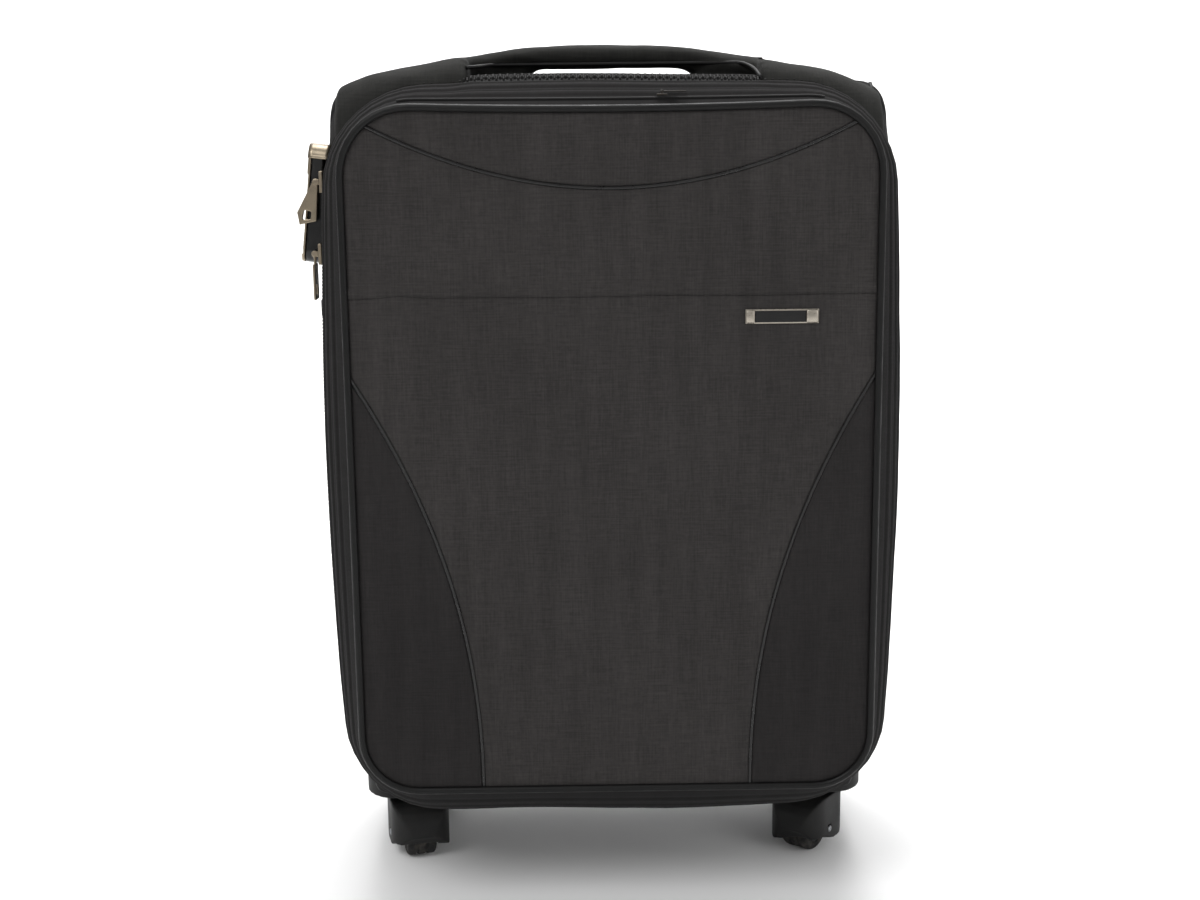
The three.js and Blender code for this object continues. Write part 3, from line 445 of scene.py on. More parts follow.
class Look:
    """A material under construction: short calls that add and join nodes."""

    def __init__(self, name, roughness, metallic=0.0, sheen=0.0, coat=0.0, specular=0.5):
        self.material = bpy.data.materials.new(name)
        self.material.use_nodes = True
        self.tree = self.material.node_tree
        self.shader = self.tree.nodes["Principled BSDF"]
        self.shader.inputs["Roughness"].default_value = roughness
        self.shader.inputs["Metallic"].default_value = metallic
        self.shader.inputs["Sheen Weight"].default_value = sheen
        self.shader.inputs["Sheen Roughness"].default_value = 0.45
        self.shader.inputs["Coat Weight"].default_value = coat
        self.shader.inputs["Coat Roughness"].default_value = 0.2
        self.shader.inputs["Specular IOR Level"].default_value = specular

    def node(self, kind, **inputs):
        made = self.tree.nodes.new(kind)
        for key, value in inputs.items():
            self.put(made.inputs[key.replace("_", " ")], value)
        return made

    def put(self, socket, value):
        if hasattr(value, "links"):
            self.tree.links.new(value, socket)
        else:
            socket.default_value = value

    def cloth(self, along=1.0, across=1.0):
        """Cloth coordinates in metres, stretched each way."""
        grid = self.node("ShaderNodeUVMap")
        grid.uv_map = "cloth"
        return self.scaled(grid.outputs["UV"], along, across, 1)

    def solid(self, x=1.0, y=1.0, z=1.0):
        """Object coordinates in metres, stretched each way."""
        return self.scaled(self.node("ShaderNodeTexCoord").outputs["Object"], x, y, z)

    def scaled(self, vector, x, y, z):
        made = self.node("ShaderNodeMapping", Vector=vector)
        made.inputs["Scale"].default_value = (x, y, z)
        return made.outputs["Vector"]

    def grain(self, vector, scale, detail=2.0, roughness=0.5):
        made = self.node(
            "ShaderNodeTexNoise", Vector=vector, Scale=scale, Detail=detail, Roughness=roughness)
        return made.outputs["Fac"]

    def bands(self, vector, scale, direction="X"):
        made = self.node("ShaderNodeTexWave", Vector=vector, Scale=scale)
        made.bands_direction = direction
        return made.outputs["Fac"]

    def math(self, operation, a, b=0.0):
        made = self.tree.nodes.new("ShaderNodeMath")
        made.operation = operation
        self.put(made.inputs[0], a)
        self.put(made.inputs[1], b)
        return made.outputs[0]

    def span(self, value, low, high, start=0.0, end=1.0):
        """Maps start..end of a value to low..high."""
        made = self.tree.nodes.new("ShaderNodeMapRange")
        self.put(made.inputs["Value"], value)
        made.inputs["From Min"].default_value = start
        made.inputs["From Max"].default_value = end
        made.inputs["To Min"].default_value = low
        made.inputs["To Max"].default_value = high
        return made.outputs["Result"]

    def blend(self, share, a, b):
        made = self.tree.nodes.new("ShaderNodeMix")
        made.data_type = "RGBA"
        self.put(made.inputs[0], share)
        self.put(made.inputs[6], a)
        self.put(made.inputs[7], b)
        return made.outputs[2]

    def colour(self, value):
        self.put(self.shader.inputs["Base Color"], value)

    def roughness(self, value):
        self.put(self.shader.inputs["Roughness"], value)

    def bump(self, height, distance, strength=1.0):
        made = self.node("ShaderNodeBump", Height=height, Distance=distance * MM, Strength=strength)
        self.put(self.shader.inputs["Normal"], made.outputs["Normal"])
        return self.material


THREAD = 1 / 0.0008  # threads for each metre of cloth: one every 0.8 mm


def woven(name, base, fleck, contrast=0.5, roughness=0.94, sheen=0.03, thread=THREAD):
    """Plain-woven polyester: threads both ways, each dyed slightly differently."""
    look = Look(name, roughness, sheen=sheen, specular=0.12)
    # A wave texture has one band for each 2 pi / 10 of its scaled coordinate.
    scale = thread * math.pi / 10
    warp = look.bands(look.cloth(), scale, "X")
    weft = look.bands(look.cloth(), scale, "Y")
    upright = look.grain(look.cloth(1, 0.05), thread * 0.9)
    level = look.grain(look.cloth(0.05, 1), thread * 0.9)
    streaks = look.math("MULTIPLY", look.math("ADD", upright, level), 0.5)
    nep = look.grain(look.cloth(), thread * 0.35, 3.0, 0.65)
    patch = look.math("ADD", look.grain(look.cloth(), 9.0, 2.0), look.grain(look.cloth(14, 1), 7.0, 2.0))
    heather = look.math("ADD", look.math("MULTIPLY", streaks, 0.7), look.math("MULTIPLY", nep, 0.3))
    share = look.span(heather, 0.5 - contrast, 0.5 + contrast, 0.38, 0.62)
    shade = look.blend(share, tone(base), tone(fleck))
    worn = look.span(patch, 0.86, 1.14, 0.7, 1.3)
    dimmed = look.node("ShaderNodeVectorMath", Vector=shade)
    dimmed.operation = "SCALE"
    look.put(dimmed.inputs["Scale"], worn)
    look.colour(dimmed.outputs["Vector"])
    look.roughness(look.span(nep, roughness - 0.08, roughness + 0.04))
    relief = look.math("ADD", look.math("MULTIPLY", warp, weft), look.math("MULTIPLY", nep, 0.8))
    return look.bump(relief, 0.12)


def ribbed(name, base, dark, pitch, roughness=0.75):
    """Narrow woven tape with slanting ribs."""
    look = Look(name, roughness, sheen=0.1, specular=0.3)
    slant = look.node("ShaderNodeMapping", Vector=look.cloth())
    slant.inputs["Rotation"].default_value = (0, 0, math.radians(45))
    rib = look.bands(slant.outputs["Vector"], math.pi / 10 / (pitch * MM))
    fibre = look.grain(look.cloth(), 1800.0)
    look.colour(look.blend(look.math("MULTIPLY", rib, fibre), tone(dark), tone(base)))
    return look.bump(look.math("ADD", rib, fibre), 0.2)


def vinyl(name, base, roughness, coat=0.05, specular=0.2):
    """Shiny coated cord: fine creases, and a little dust that also roughens it."""
    look = Look(name, roughness, coat=coat, specular=specular)
    crease = look.grain(look.solid(), 900.0, 3.0)
    dust = look.grain(look.solid(), 60.0, 4.0, 0.7)
    look.colour(look.blend(look.span(dust, 0, 0.25, 0.45, 0.8), tone(base), tone("#242220")))
    look.roughness(look.span(dust, roughness - 0.08, roughness + 0.22, 0.3, 0.75))
    return look.bump(crease, 0.12)


def plastic(name, base, roughness, grain_size=0.9, depth=0.06, dust=0.12, coat=0.0):
    """Moulded plastic with a spark-eroded grain and dust in broad patches."""
    look = Look(name, roughness, coat=coat, specular=0.3)
    grain = look.grain(look.solid(), 1 / (grain_size * MM), 2.0)
    broad = look.grain(look.solid(), 45.0, 4.0, 0.65)
    look.colour(look.blend(look.span(broad, 0, dust * 2, 0.4, 0.8), tone(base), tone("#5b5955")))
    look.roughness(look.span(broad, roughness - 0.07, roughness + 0.12, 0.3, 0.7))
    return look.bump(grain, depth)


def metal(name, base, roughness, brush=(1, 1, 40), tint="#4a4238", wear=0.35):
    """Plated or brushed metal: fine brush lines, and tarnish in patches."""
    look = Look(name, roughness, metallic=1.0)
    lines = look.grain(look.solid(*brush), 700.0, 3.0)
    patch = look.grain(look.solid(), 180.0, 3.0, 0.6)
    look.colour(look.blend(look.span(patch, 0, wear, 0.45, 0.8), tone(base), tone(tint)))
    look.roughness(look.span(lines, roughness - 0.06, roughness + 0.14, 0.3, 0.7))
    return look.bump(lines, 0.02)


def rubber(name, base):
    """Wheel tread: dull, with scuffs and floor dust."""
    look = Look(name, 0.8, specular=0.3)
    scuff = look.grain(look.solid(1, 1, 1), 320.0, 4.0, 0.7)
    dirt = look.grain(look.solid(), 90.0, 3.0, 0.6)
    look.colour(look.blend(look.span(dirt, 0, 0.55, 0.45, 0.8), tone(base), tone("#6b655c")))
    look.roughness(look.span(scuff, 0.66, 0.95))
    return look.bump(scuff, 0.15)


def satin(name, base, light, pitch):
    """Thin lining cloth with a small woven diamond figure."""
    look = Look(name, 0.6, sheen=0.2, specular=0.4)
    turn = look.node("ShaderNodeMapping", Vector=look.cloth())
    turn.inputs["Rotation"].default_value = (0, 0, math.radians(45))
    scale = math.pi / 10 / (pitch * MM)
    one = look.bands(turn.outputs["Vector"], scale, "X")
    two = look.bands(turn.outputs["Vector"], scale, "Y")
    figure = look.math("GREATER_THAN", look.math("MULTIPLY", one, two), 0.42)
    fibre = look.grain(look.cloth(1, 0.1), 2600.0)
    shade = look.math("MULTIPLY", look.span(figure, 0.25, 0.8), look.span(fibre, 0.7, 1.2))
    look.colour(look.blend(shade, tone(base), tone(light)))
    look.roughness(look.span(figure, 0.66, 0.45))
    return look.bump(fibre, 0.05)


FRONT_CLOTH = woven("front cloth", "#2a2828", "#363433", 0.5)
LOW_CLOTH = woven("side panel cloth", "#201f1f", "#292727", 0.45)
BODY_CLOTH = woven("body cloth", "#141313", "#1b1a1a", 0.4)
TUB_CLOTH = woven("case cloth", "#1b1a1a", "#282626", 0.45)
SADDLE_CLOTH = woven("saddle cloth", "#212120", "#2b2b29", 0.4)
PIPING_VINYL = vinyl("piping vinyl", "#070707", 0.46)
CORD_VINYL = vinyl("panel cord vinyl", "#0a0909", 0.28, 0.12, 0.35)
TAPE_WEAVE = ribbed("zip tape", "#121111", "#090808", 0.9)
WEBBING = ribbed("strap webbing", "#3a3a3d", "#1d1d1f", 2.4)
TEETH_NYLON = plastic("zip teeth nylon", "#0f0e0e", 0.72, 0.5, 0.02, 0.04)
MATTE_BLACK = plastic("matte black plastic", "#0e0e0e", 0.6, 0.8, 0.1, 0.06)
BOARD_BLACK = plastic("board plastic", "#111111", 0.64, 1.4, 0.12, 0.06)
GLOSS_BLACK = plastic("gloss black plastic", "#080808", 0.22, 3.0, 0.01, 0.03, 0.25)
GREY_HUB = plastic("hub plastic", "#222224", 0.5, 0.8, 0.05, 0.15)
TYRE_RUBBER = rubber("tyre rubber", "#191919")
BRONZE = metal("bronze plating", "#8d8271", 0.32)
NICKEL = metal("badge nickel", "#a8a196", 0.3, (1, 1, 4), "#6d675d", 0.25)
GUNMETAL = metal("gunmetal plating", "#3a3836", 0.4)
CHROME = metal("bright chrome", "#d5d4d1", 0.12, (1, 1, 4), "#8b8983", 0.2)
ALUMINIUM = metal("drawn aluminium", "#b4b6b9", 0.3, (30, 30, 0.4), "#8d8f92", 0.25)
STEEL = metal("axle steel", "#8e9093", 0.34, (1, 1, 30), "#55504a", 0.3)
LINING_SATIN = satin("lining satin", "#3d3c40", "#59585d", 9.0)
NET_NYLON = plastic("net nylon", "#1b1b1c", 0.6, 0.6, 0.04, 0.05)


# ---------------------------------------------------------------- front panel of the lid

PANEL_THICK = 1.2
PANEL_FRONT = -1.1  # the fabric between the seams stands this far in front of the seam plane
WELT_EDGE = 7.0  # how far from a seam the padding reaches its full height


def seam_half(z):
    """Half the width of the front panel at a height."""
    low, high = SEAM.bottom + SEAM.low_corner, SEAM.top - SEAM.high_corner
    if z < low:
        return rounded(SEAM.half, SEAM.low_corner, low - z)
    if z > high:
        return rounded(SEAM.half, SEAM.high_corner, z - high)
    return SEAM.half


def seam_top(x):
    """Height of the top seam of the front panel."""
    level = rounded(SEAM.top, SEAM.high_corner, abs(x) - (SEAM.half - SEAM.high_corner))
    return level + SEAM.crown * (1 - (x / SEAM.half) ** 2)


def seam_bottom(x):
    inner = SEAM.half - SEAM.low_corner
    past = min(max(abs(x) - inner, 0), SEAM.low_corner)
    return SEAM.bottom + SEAM.low_corner - math.sqrt(SEAM.low_corner ** 2 - past ** 2)


def smile(x):
    return SMILE_LOW + SMILE_RISE * (x / SMILE_HALF) ** 2


def side_curve(z):
    share = min(max((z - SEAM.bottom) / CURVE_HEIGHT, 0), 1)
    return min(CURVE_INNER + CURVE_SPREAD * share ** CURVE_POWER, SEAM.half)


def seam_gap(x, z):
    """Distance to the nearest seam of the front panel, roughly."""
    gaps = [
        seam_half(z) - abs(x),
        abs(seam_top(x) - z),
        abs(z - seam_bottom(x)),
        abs(smile(x) - z) / math.hypot(1, 2 * SMILE_RISE * x / SMILE_HALF ** 2),
        abs(POCKET_EDGE - z),
    ]
    if z < SEAM.bottom + CURVE_HEIGHT:
        share = (z - SEAM.bottom) / CURVE_HEIGHT
        slope = CURVE_SPREAD * CURVE_POWER * max(share, 0.02) ** (CURVE_POWER - 1) / CURVE_HEIGHT
        gaps.append(abs(side_curve(z) - abs(x)) / math.hypot(1, slope))
    return max(min(gaps), 0)


def front_depth(x, z, lift=0.0):
    """Y of the padded front: full between the seams, pulled in at them, with slack and puckers."""
    gap = seam_gap(x, z)
    pad = 1 - math.exp(-gap / WELT_EDGE * 2.2)
    slack = 0.55 * clump(x, 0, z, 70) + 0.25 * clump(x, 30, z, 26)
    pucker = 0.22 * math.exp(-gap / 5) * clump(x, 60, z, 5)
    broad = 1 - (x / SEAM.half) ** 2
    return PANEL_FRONT - pad * (1.3 + 1.2 * broad + slack) - pucker - lift


SMILE_END = next(x for x in spread(120, 158, 200) if smile(x) >= seam_top(x))


def pocket_edge(x):
    """The sewn top edge of the pocket, which steps up a little near its left end."""
    return POCKET_EDGE - 1.2 + 1.2 * math.exp(-((x + 128) / 12) ** 2) + 0.5 * clump(x, 0, 0, 60)


def upper_depth(x, z, u, v):
    """The upper panel laps over the pocket's top edge and rolls in at its own hem."""
    hem = max(1 - (z - pocket_edge(x)) / 6, 0)
    return front_depth(x, z) - 3.6 * hem * (1 - hem) - 0.7 * hem


def panel(obj, material, node):
    thicken(obj, PANEL_THICK)
    place(obj, "lid", material, [node])


def front_panels():
    edge = SEAM.half - 0.4
    yoke = sheet_grid("front_yoke", spread(-SMILE_END, SMILE_END, 120), smile, seam_top,
                      lambda x, z, u, v: front_depth(x, z), 20)
    upper = sheet_grid("front_upper", spread(-edge, edge, 130), pocket_edge,
                       lambda x: min(smile(x), seam_top(x)), upper_depth, 40)
    pocket = cross_grid("front_pocket", spread(SEAM.bottom, POCKET_EDGE + 1, 130),
                        lambda z: -min(side_curve(z), seam_half(z)),
                        lambda z: min(side_curve(z), seam_half(z)), front_depth, 110)
    for obj, node in ((yoke, "yoke_panel"), (upper, "upper_panel"), (pocket, "pocket_panel")):
        panel(obj, FRONT_CLOTH, node)
    heights = spread(SEAM.bottom, SEAM.bottom + CURVE_HEIGHT - 1.5, 100)
    left = cross_grid("front_side_left", heights, lambda z: -seam_half(z), lambda z: -side_curve(z),
                      front_depth, 24)
    right = cross_grid("front_side_right", heights, side_curve, seam_half, front_depth, 24)
    for obj, tag in ((left, "left"), (right, "right")):
        panel(obj, LOW_CLOTH, f"side_panel_{tag}")


def front_cords():
    """The piped seams inside the front panel, the piping around it, and a thin dark cord under the pocket's
    hem that is a painted shadow of its fold.
    """
    sunk = CORD_RADIUS * 0.35
    path = [(x, front_depth(x, smile(x)) - sunk, smile(x)) for x in spread(-SMILE_END, SMILE_END, 150)]
    cord("smile_piping", path, CORD_RADIUS, "lid", CORD_VINYL)
    top = SEAM.bottom + CURVE_HEIGHT - 0.5
    for side, tag in ((-1, "left"), (1, "right")):
        path = []
        for z in spread(SEAM.bottom - 0.5, top, 130):
            x = side * side_curve(z)
            path.append((x, front_depth(x, z) - sunk, z))
        cord(f"curve_piping_{tag}", path, CORD_RADIUS, "lid", CORD_VINYL)
    path = [
        (x, PIPING_Y - 0.25 * clump(x, 5, z, 40), z) for x, _, z in outline(SEAM._replace(y=PIPING_Y))
    ]
    cord("front_piping_cord", path, PIPING_RADIUS, "lid", PIPING_VINYL, ["front_piping"], closed=True)
    # A thin dark cord under the pocket's hem: painted shadow of the fold, not a real piping.
    reach = seam_half(POCKET_EDGE) - 1
    path = [
        (x, front_depth(x, POCKET_EDGE) + 0.2, pocket_edge(x) - 0.2) for x in spread(-reach, reach, 120)
    ]
    cord("pocket_seam_shadow", path, 0.7, "lid", CORD_VINYL, sides=8)


# ---------------------------------------------------------------- fabric walls

WELTS = (16, 26, 36)  # depths of the sewn welts along the lid's wall
WELT_HEIGHT = 0.8
WELT_HALF = 2.6
WALL_THICK = 1.6


def welt(y, places, height):
    """Height of the sewn welts at a depth: rounded ridges, with a stitched groove beside each."""
    total = 0.0
    for place_y in places:
        away = abs(y - place_y) / WELT_HALF
        if away < 1:
            total += height * math.sqrt(1 - away * away)
        total -= 0.5 * math.exp(-((away - 1.25) / 0.3) ** 2)
    return total


def wall_top(x, y):
    """Height of the case's top at a place."""
    if y < LID_BACK:
        station = lid_station(y / LID_BACK)
    elif y < RING_FRONT:
        station = MOUTH
    elif y < RING_BACK:
        station = ring_station(max((y - RING_FRONT) / (RING_BACK - RING_FRONT), 0))
    else:
        station = tub_station((y - TUB_FRONT) / (TUB_BACK - TUB_FRONT))
    radius = station.high_corner
    past = min(max(abs(x) - (station.half - radius), 0), radius - 0.5)
    level = station.top - radius + math.sqrt(radius ** 2 - past ** 2)
    return level + station.crown * (1 - (x / station.half) ** 2)


def wall_loop(station, welts=(), slack=0.8, height=WELT_HEIGHT):
    """An outline with its welts, and the fabric's own slack between them."""
    loop = outline(station, -welt(station.y, welts, height))
    middle = (station.bottom + station.top) / 2
    loosened = []
    for x, y, z in loop:
        out = Vector((x / station.half, (z - middle) / (station.top - middle))).normalized()
        give = slack * (clump(x, y, z, 60) * 0.7 + clump(x, y * 2, z, 22) * 0.3)
        if z < station.bottom + 25:
            give += 2.6 * slack * clump(x, 0, 0, 90)
        puff_up = zip_rise(x, y) if z > middle else 0
        loosened.append((x + out.x * give, y, z + out.y * give + puff_up))
    return loosened


def lid_wall():
    loops = [outline(SEAM._replace(y=-1.6), 2.0)]
    loops += [wall_loop(lid_station(share), WELTS, 0.9 * share) for share in spread(0, 1, 52)]
    wall = skin("lid_wall_fabric", loops)
    thicken(wall, WALL_THICK)
    place(wall, "lid", BODY_CLOTH, ["lid_shell"])


def turned_in(station, edge, way):
    """Two more loops where a wall's edge is folded inwards to be sewn to the gusset."""
    return [outline(station._replace(y=edge + way * deep), inset) for deep, inset in ((0.4, 3), (4.5, 7.6))]


def ring_wall():
    ends = (RING_FRONT + 3.5, RING_BACK - 3.5)
    loops = [wall_loop(ring_station(share), ends, 0.6, 0.6) for share in spread(0, 1, 34)]
    loops += turned_in(TUB_MOUTH, RING_BACK, -1)
    wall = skin("ring_fabric", loops)
    thicken(wall, WALL_THICK)
    place(wall, "expander", BODY_CLOTH, ["gusset_ring"])


BACK_TURN = 9  # how far the wall turns in onto the back


def cut_out(obj, node, margin):
    """Opens a fabric under a fitting: removes the faces that lie well inside the fitting's outline."""
    low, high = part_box(node)
    edge = margin * MM
    edit = bmesh.new()
    edit.from_mesh(obj.data)
    inside = []
    for face in edit.faces:
        spot = face.calc_center_median()
        level = low[0] + edge < spot.x < high[0] - edge and low[1] + edge < spot.y < high[1] - edge
        if level and spot.z > low[2] - 2 * edge:
            inside.append(face)
    bmesh.ops.delete(edit, geom=inside, context="FACES")
    edit.to_mesh(obj.data)
    edit.free()


def tub_wall():
    ends = (TUB_FRONT + 3.5,)
    loops = turned_in(TUB_MOUTH, TUB_FRONT, 1)[::-1]
    loops += [wall_loop(tub_station(share), ends, 0.9, 0.6) for share in spread(0, 0.95, 60)]
    for angle in spread(10, 90, 7):
        turn = math.radians(angle)
        inset = BACK_TURN * (1 - math.cos(turn))
        depth = tub_station(0.95).y + (TUB_BACK - tub_station(0.95).y) * math.sin(turn)
        loops.append(outline(TUB_END._replace(y=depth), inset))
    loops.append(outline(TUB_END, BACK_TURN + 6))
    wall = skin("tub_fabric", loops)
    cut_out(wall, "trolley_bezel", 6)
    thicken(wall, WALL_THICK)
    place(wall, "case", TUB_CLOTH, ["body_tub"])


def back_half(z):
    """Half width of the flat back at a height."""
    inset = BACK_TURN + 1
    half = TUB_END.half + TUB_END.swell * (1 - ((z - 287) / 235) ** 2) - inset
    low = TUB_END.bottom + inset
    corner = TUB_END.low_corner - inset
    half = rounded(half, corner, low + corner - z)
    return rounded(half, 8, z - (TUB_END.top - inset) + 8)


def back_panel():
    low, high = TUB_END.bottom + BACK_TURN + 1, TUB_END.top - BACK_TURN - 1

    def depth(x, z):
        gap = min(back_half(z) - abs(x), z - low, high - z)
        pad = 1 - math.exp(-max(gap, 0) / 6)
        channel = sum(math.exp(-((abs(x) - place_x) / 1.1) ** 2) for place_x in (58, 102))
        return TUB_BACK + 0.3 + 1.2 * pad - 0.9 * channel + 0.4 * clump(x, 9, z, 60) * pad

    panel_mesh = cross_grid("back_panel_fabric", spread(low, high, 120), lambda z: -back_half(z),
                            back_half, depth, 90)
    panel_mesh.data.flip_normals()
    thicken(panel_mesh, PANEL_THICK)
    place(panel_mesh, "case", TUB_CLOTH)
    path = [(x, TUB_BACK + 0.4, z) for x, _, z in outline(TUB_END, BACK_TURN)]
    cord("back_piping_cord", path, 1.9, "case", PIPING_VINYL, closed=True)


# ---------------------------------------------------------------- soft parts across the joints


SHEET_THICK = 0.7  # lining, gusset and hinge cloth


def blended(obj):
    """A thin cloth that lies between two bodies: thickened and given the body cloth."""
    thicken(obj, SHEET_THICK)
    apply_modifiers(obj)
    obj.data.materials.clear()
    obj.data.materials.append(BODY_CLOTH)
    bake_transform(obj)


def expansion_gusset():
    """The folded gusset behind the ring."""
    front, back = RING_BACK - 6, TUB_FRONT + 8
    loops = []
    for share in spread(0, 1, 17):
        y = mix(front, back, share)
        fold = 5.4 + 1.1 * math.cos(share * 6 * math.pi)
        loops.append(outline(TUB_MOUTH._replace(y=y), fold))
    blended(skin("expansion_gusset", loops))


def hinge_tape():
    """The strip of fabric that the lid swings on, inside its right edge."""
    low, high = 110, 470
    loops = []
    for y in spread(LID_BACK - 7, RING_FRONT + 7, 15):
        loop = []
        for z in spread(low, high, 40):
            wall = MOUTH.half + MOUTH.swell * (1 - ((z - 291) / 232) ** 2)
            loop.append((wall - 4.8, y, z))
        loops.append(loop)
    blended(skin("lid_hinge_tape", loops, wrap=False))


# ---------------------------------------------------------------- zips

TAPE_THICK = 1.2
TEETH_HALF = 3.2


def zip_loop(station, y, inset):
    """The zip's outline at a depth: slanted to face forward inside the opening of the handle."""
    slanted = []
    for x, _, z in outline(station._replace(y=y), inset):
        slanted.append((x, y, z + zip_rise(x, y) if z > 500 else z))
    return slanted


def zip_side(tag, station, tape_edge, teeth_y, body, nodes, lean):
    """One side of a zip: a woven tape from tape_edge to the middle, and its row of teeth."""
    loops = [zip_loop(station, y, 0.4) for y in spread(tape_edge, teeth_y, 7)]
    tape = skin(f"{tag}_tape", loops, flip=tape_edge > teeth_y)
    thicken(tape, TAPE_THICK)
    place(tape, body, TAPE_WEAVE, nodes)
    place(teeth_row(f"{tag}_teeth", station, teeth_y, lean), body, TEETH_NYLON)


def evenly(loop, pitch):
    """Points, tangents and count of even steps around a closed loop."""
    ring = [Vector(p) for p in loop] + [Vector(loop[0])]
    total = lengths([tuple(p) for p in ring])
    count = 2 * round(total[-1] / pitch / 2)
    step = total[-1] / count
    spots, k = [], 0
    for i in range(count):
        goal = i * step
        while total[k + 1] < goal:
            k += 1
        share = (goal - total[k]) / (total[k + 1] - total[k])
        spots.append((ring[k].lerp(ring[k + 1], share), (ring[k + 1] - ring[k]).normalized()))
    return spots


def teeth_row(name, station, y, lean):
    """Every other tooth of a closed zip: stubby blocks whose heads reach past the middle."""
    spots = evenly(zip_loop(station, y, -0.4), TOOTH_PITCH)
    points, faces = [], []
    back = Vector((0, 1, 0))
    for index, (spot, tangent) in enumerate(spots):
        if (index % 2 == 0) == (lean > 0):
            continue
        out = back.cross(tangent).normalized() * -1
        if out.dot(Vector((spot.x, 0, spot.z - 290))) < 0:
            out = -out
        climb = ZIP_SLANT * notch_share(spot.x) if spot.z > 500 else 0.0
        reach = Vector((0, 1, climb)).normalized() * lean
        base = len(points)
        # A head at the middle of the zip, a waist, and a foot sewn to the tape.
        profile = ((0.9, 0.62, 1.0), (0.1, 0.98, 1.25), (-0.9, 0.45, 1.1), (-TEETH_HALF, 0.75, 0.8))
        for along, wide, tall in profile:
            for side, height in ((-1, -0.6), (-1, tall), (1, tall), (1, -0.6)):
                bevel = 0.72 if height > 0 else 1
                points.append(tuple(
                    spot + reach * (along * -1) + tangent * (side * wide * bevel) + out * height))
        for ring in range(3):
            for k in range(4):
                a = base + 4 * ring + k
                b = base + 4 * ring + (k + 1) % 4
                faces.append([a, b, b + 4, a + 4])
        faces.append([base, base + 1, base + 2, base + 3])
        faces.append([base + 15, base + 14, base + 13, base + 12])
    obj = add_mesh(name, points, faces, smooth=False)
    weld(obj, 1e-7)
    return obj


POCKET_ZIP_Y = 9  # the hidden pocket's zip, in the lid's top just behind the piping
POCKET_ZIP_HALF = 125


def pocket_zip():
    path = [
        (x, POCKET_ZIP_Y, wall_top(x, POCKET_ZIP_Y) + 0.4)
        for x in spread(-POCKET_ZIP_HALF, POCKET_ZIP_HALF, 90)
    ]
    place(sweep("pocket_zip_coil", path, 1.0, 8), "lid", TAPE_WEAVE)


def zips():
    zip_side("lid_zip", MOUTH, LID_BACK - 1.5, ZIP_SPLIT - 0.2, "lid", ["lid_zip_chain"], 1)
    zip_side("case_zip", MOUTH, RING_FRONT + 1.5, ZIP_SPLIT + 0.2, "expander", ["case_zip_chain"], -1)


# ---------------------------------------------------------------- padded handles

SADDLE_FRONT, SADDLE_BACK = case_box("top_handle")[0].y - 1.5, case_box("top_handle")[1].y + 1
SADDLE_HALF = 168.5
BAR_FRONT, BAR_BACK = RING_BACK - 6.5, SADDLE_BACK - 1.5
BAR_UNDER = CREST_TOP - 13.5
CREST_CENTRE = -6
# The crest: distance from its centre, and drop below CREST_TOP.
CREST = ((0, 0), (30, 0.3), (55, 2.0), (104, 10.2), (142, 17.3), (161, 24.5), (177.5, 32))
SHOULDER_FRONT = LID_BACK + 0.5  # the shoulders lap over the zip
WEB_SLOPE = 12  # length of the sloping end of the way through


def crest(x):
    """Height of the handle's crest, eased through its named points."""
    away = min(abs(x - CREST_CENTRE), CREST[-1][0])
    for (x0, d0), (x1, d1) in zip(CREST, CREST[1:]):
        if away <= x1:
            return CREST_TOP - mix(d0, d1, (away - x0) / (x1 - x0))
    return CREST_TOP - CREST[-1][1]


def shoulder_section(x):
    """Cross-section of the saddle at x, in Y and Z: a dome from the zip to the tub's top."""
    ys = spread(SHOULDER_FRONT, SADDLE_BACK, 18)
    top = []
    for y in ys:
        share = (y - SHOULDER_FRONT) / (SADDLE_BACK - SHOULDER_FRONT)
        dome = math.sin(math.pi * share ** 0.8) ** 0.55 if 0 < share < 1 else 0
        base = wall_top(x, y)
        top.append((x, y, max(base + 0.4, mix(base, crest(x), dome))))
    under = [(x, y, wall_top(x, y) - 4) for y in reversed(ys)]
    return top + under


def bar_section(x):
    """Cross-section of the grip bar at x: a soft rounded rectangle."""
    high = crest(x) - 0.6
    low = min(BAR_UNDER, high - 11) + 0.3
    middle, deep = (BAR_FRONT + BAR_BACK) / 2, (BAR_BACK - BAR_FRONT) / 2
    loop = []
    for angle in full_turn(28):
        c, s = math.cos(angle), math.sin(angle)
        loop.append((
            x,
            middle + deep * math.copysign(abs(c) ** 0.6, c),
            (high + low) / 2 + (high - low) / 2 * math.copysign(abs(s) ** 0.75, s),
        ))
    return loop


def held_group(obj, held):
    """Marks the points that the sewing holds, so that cloth pressure leaves them in place."""
    group = obj.vertex_groups.new(name="held")
    group.add([v.index for v in obj.data.vertices if held(v.co)], 1.0, "REPLACE")
    return group.name


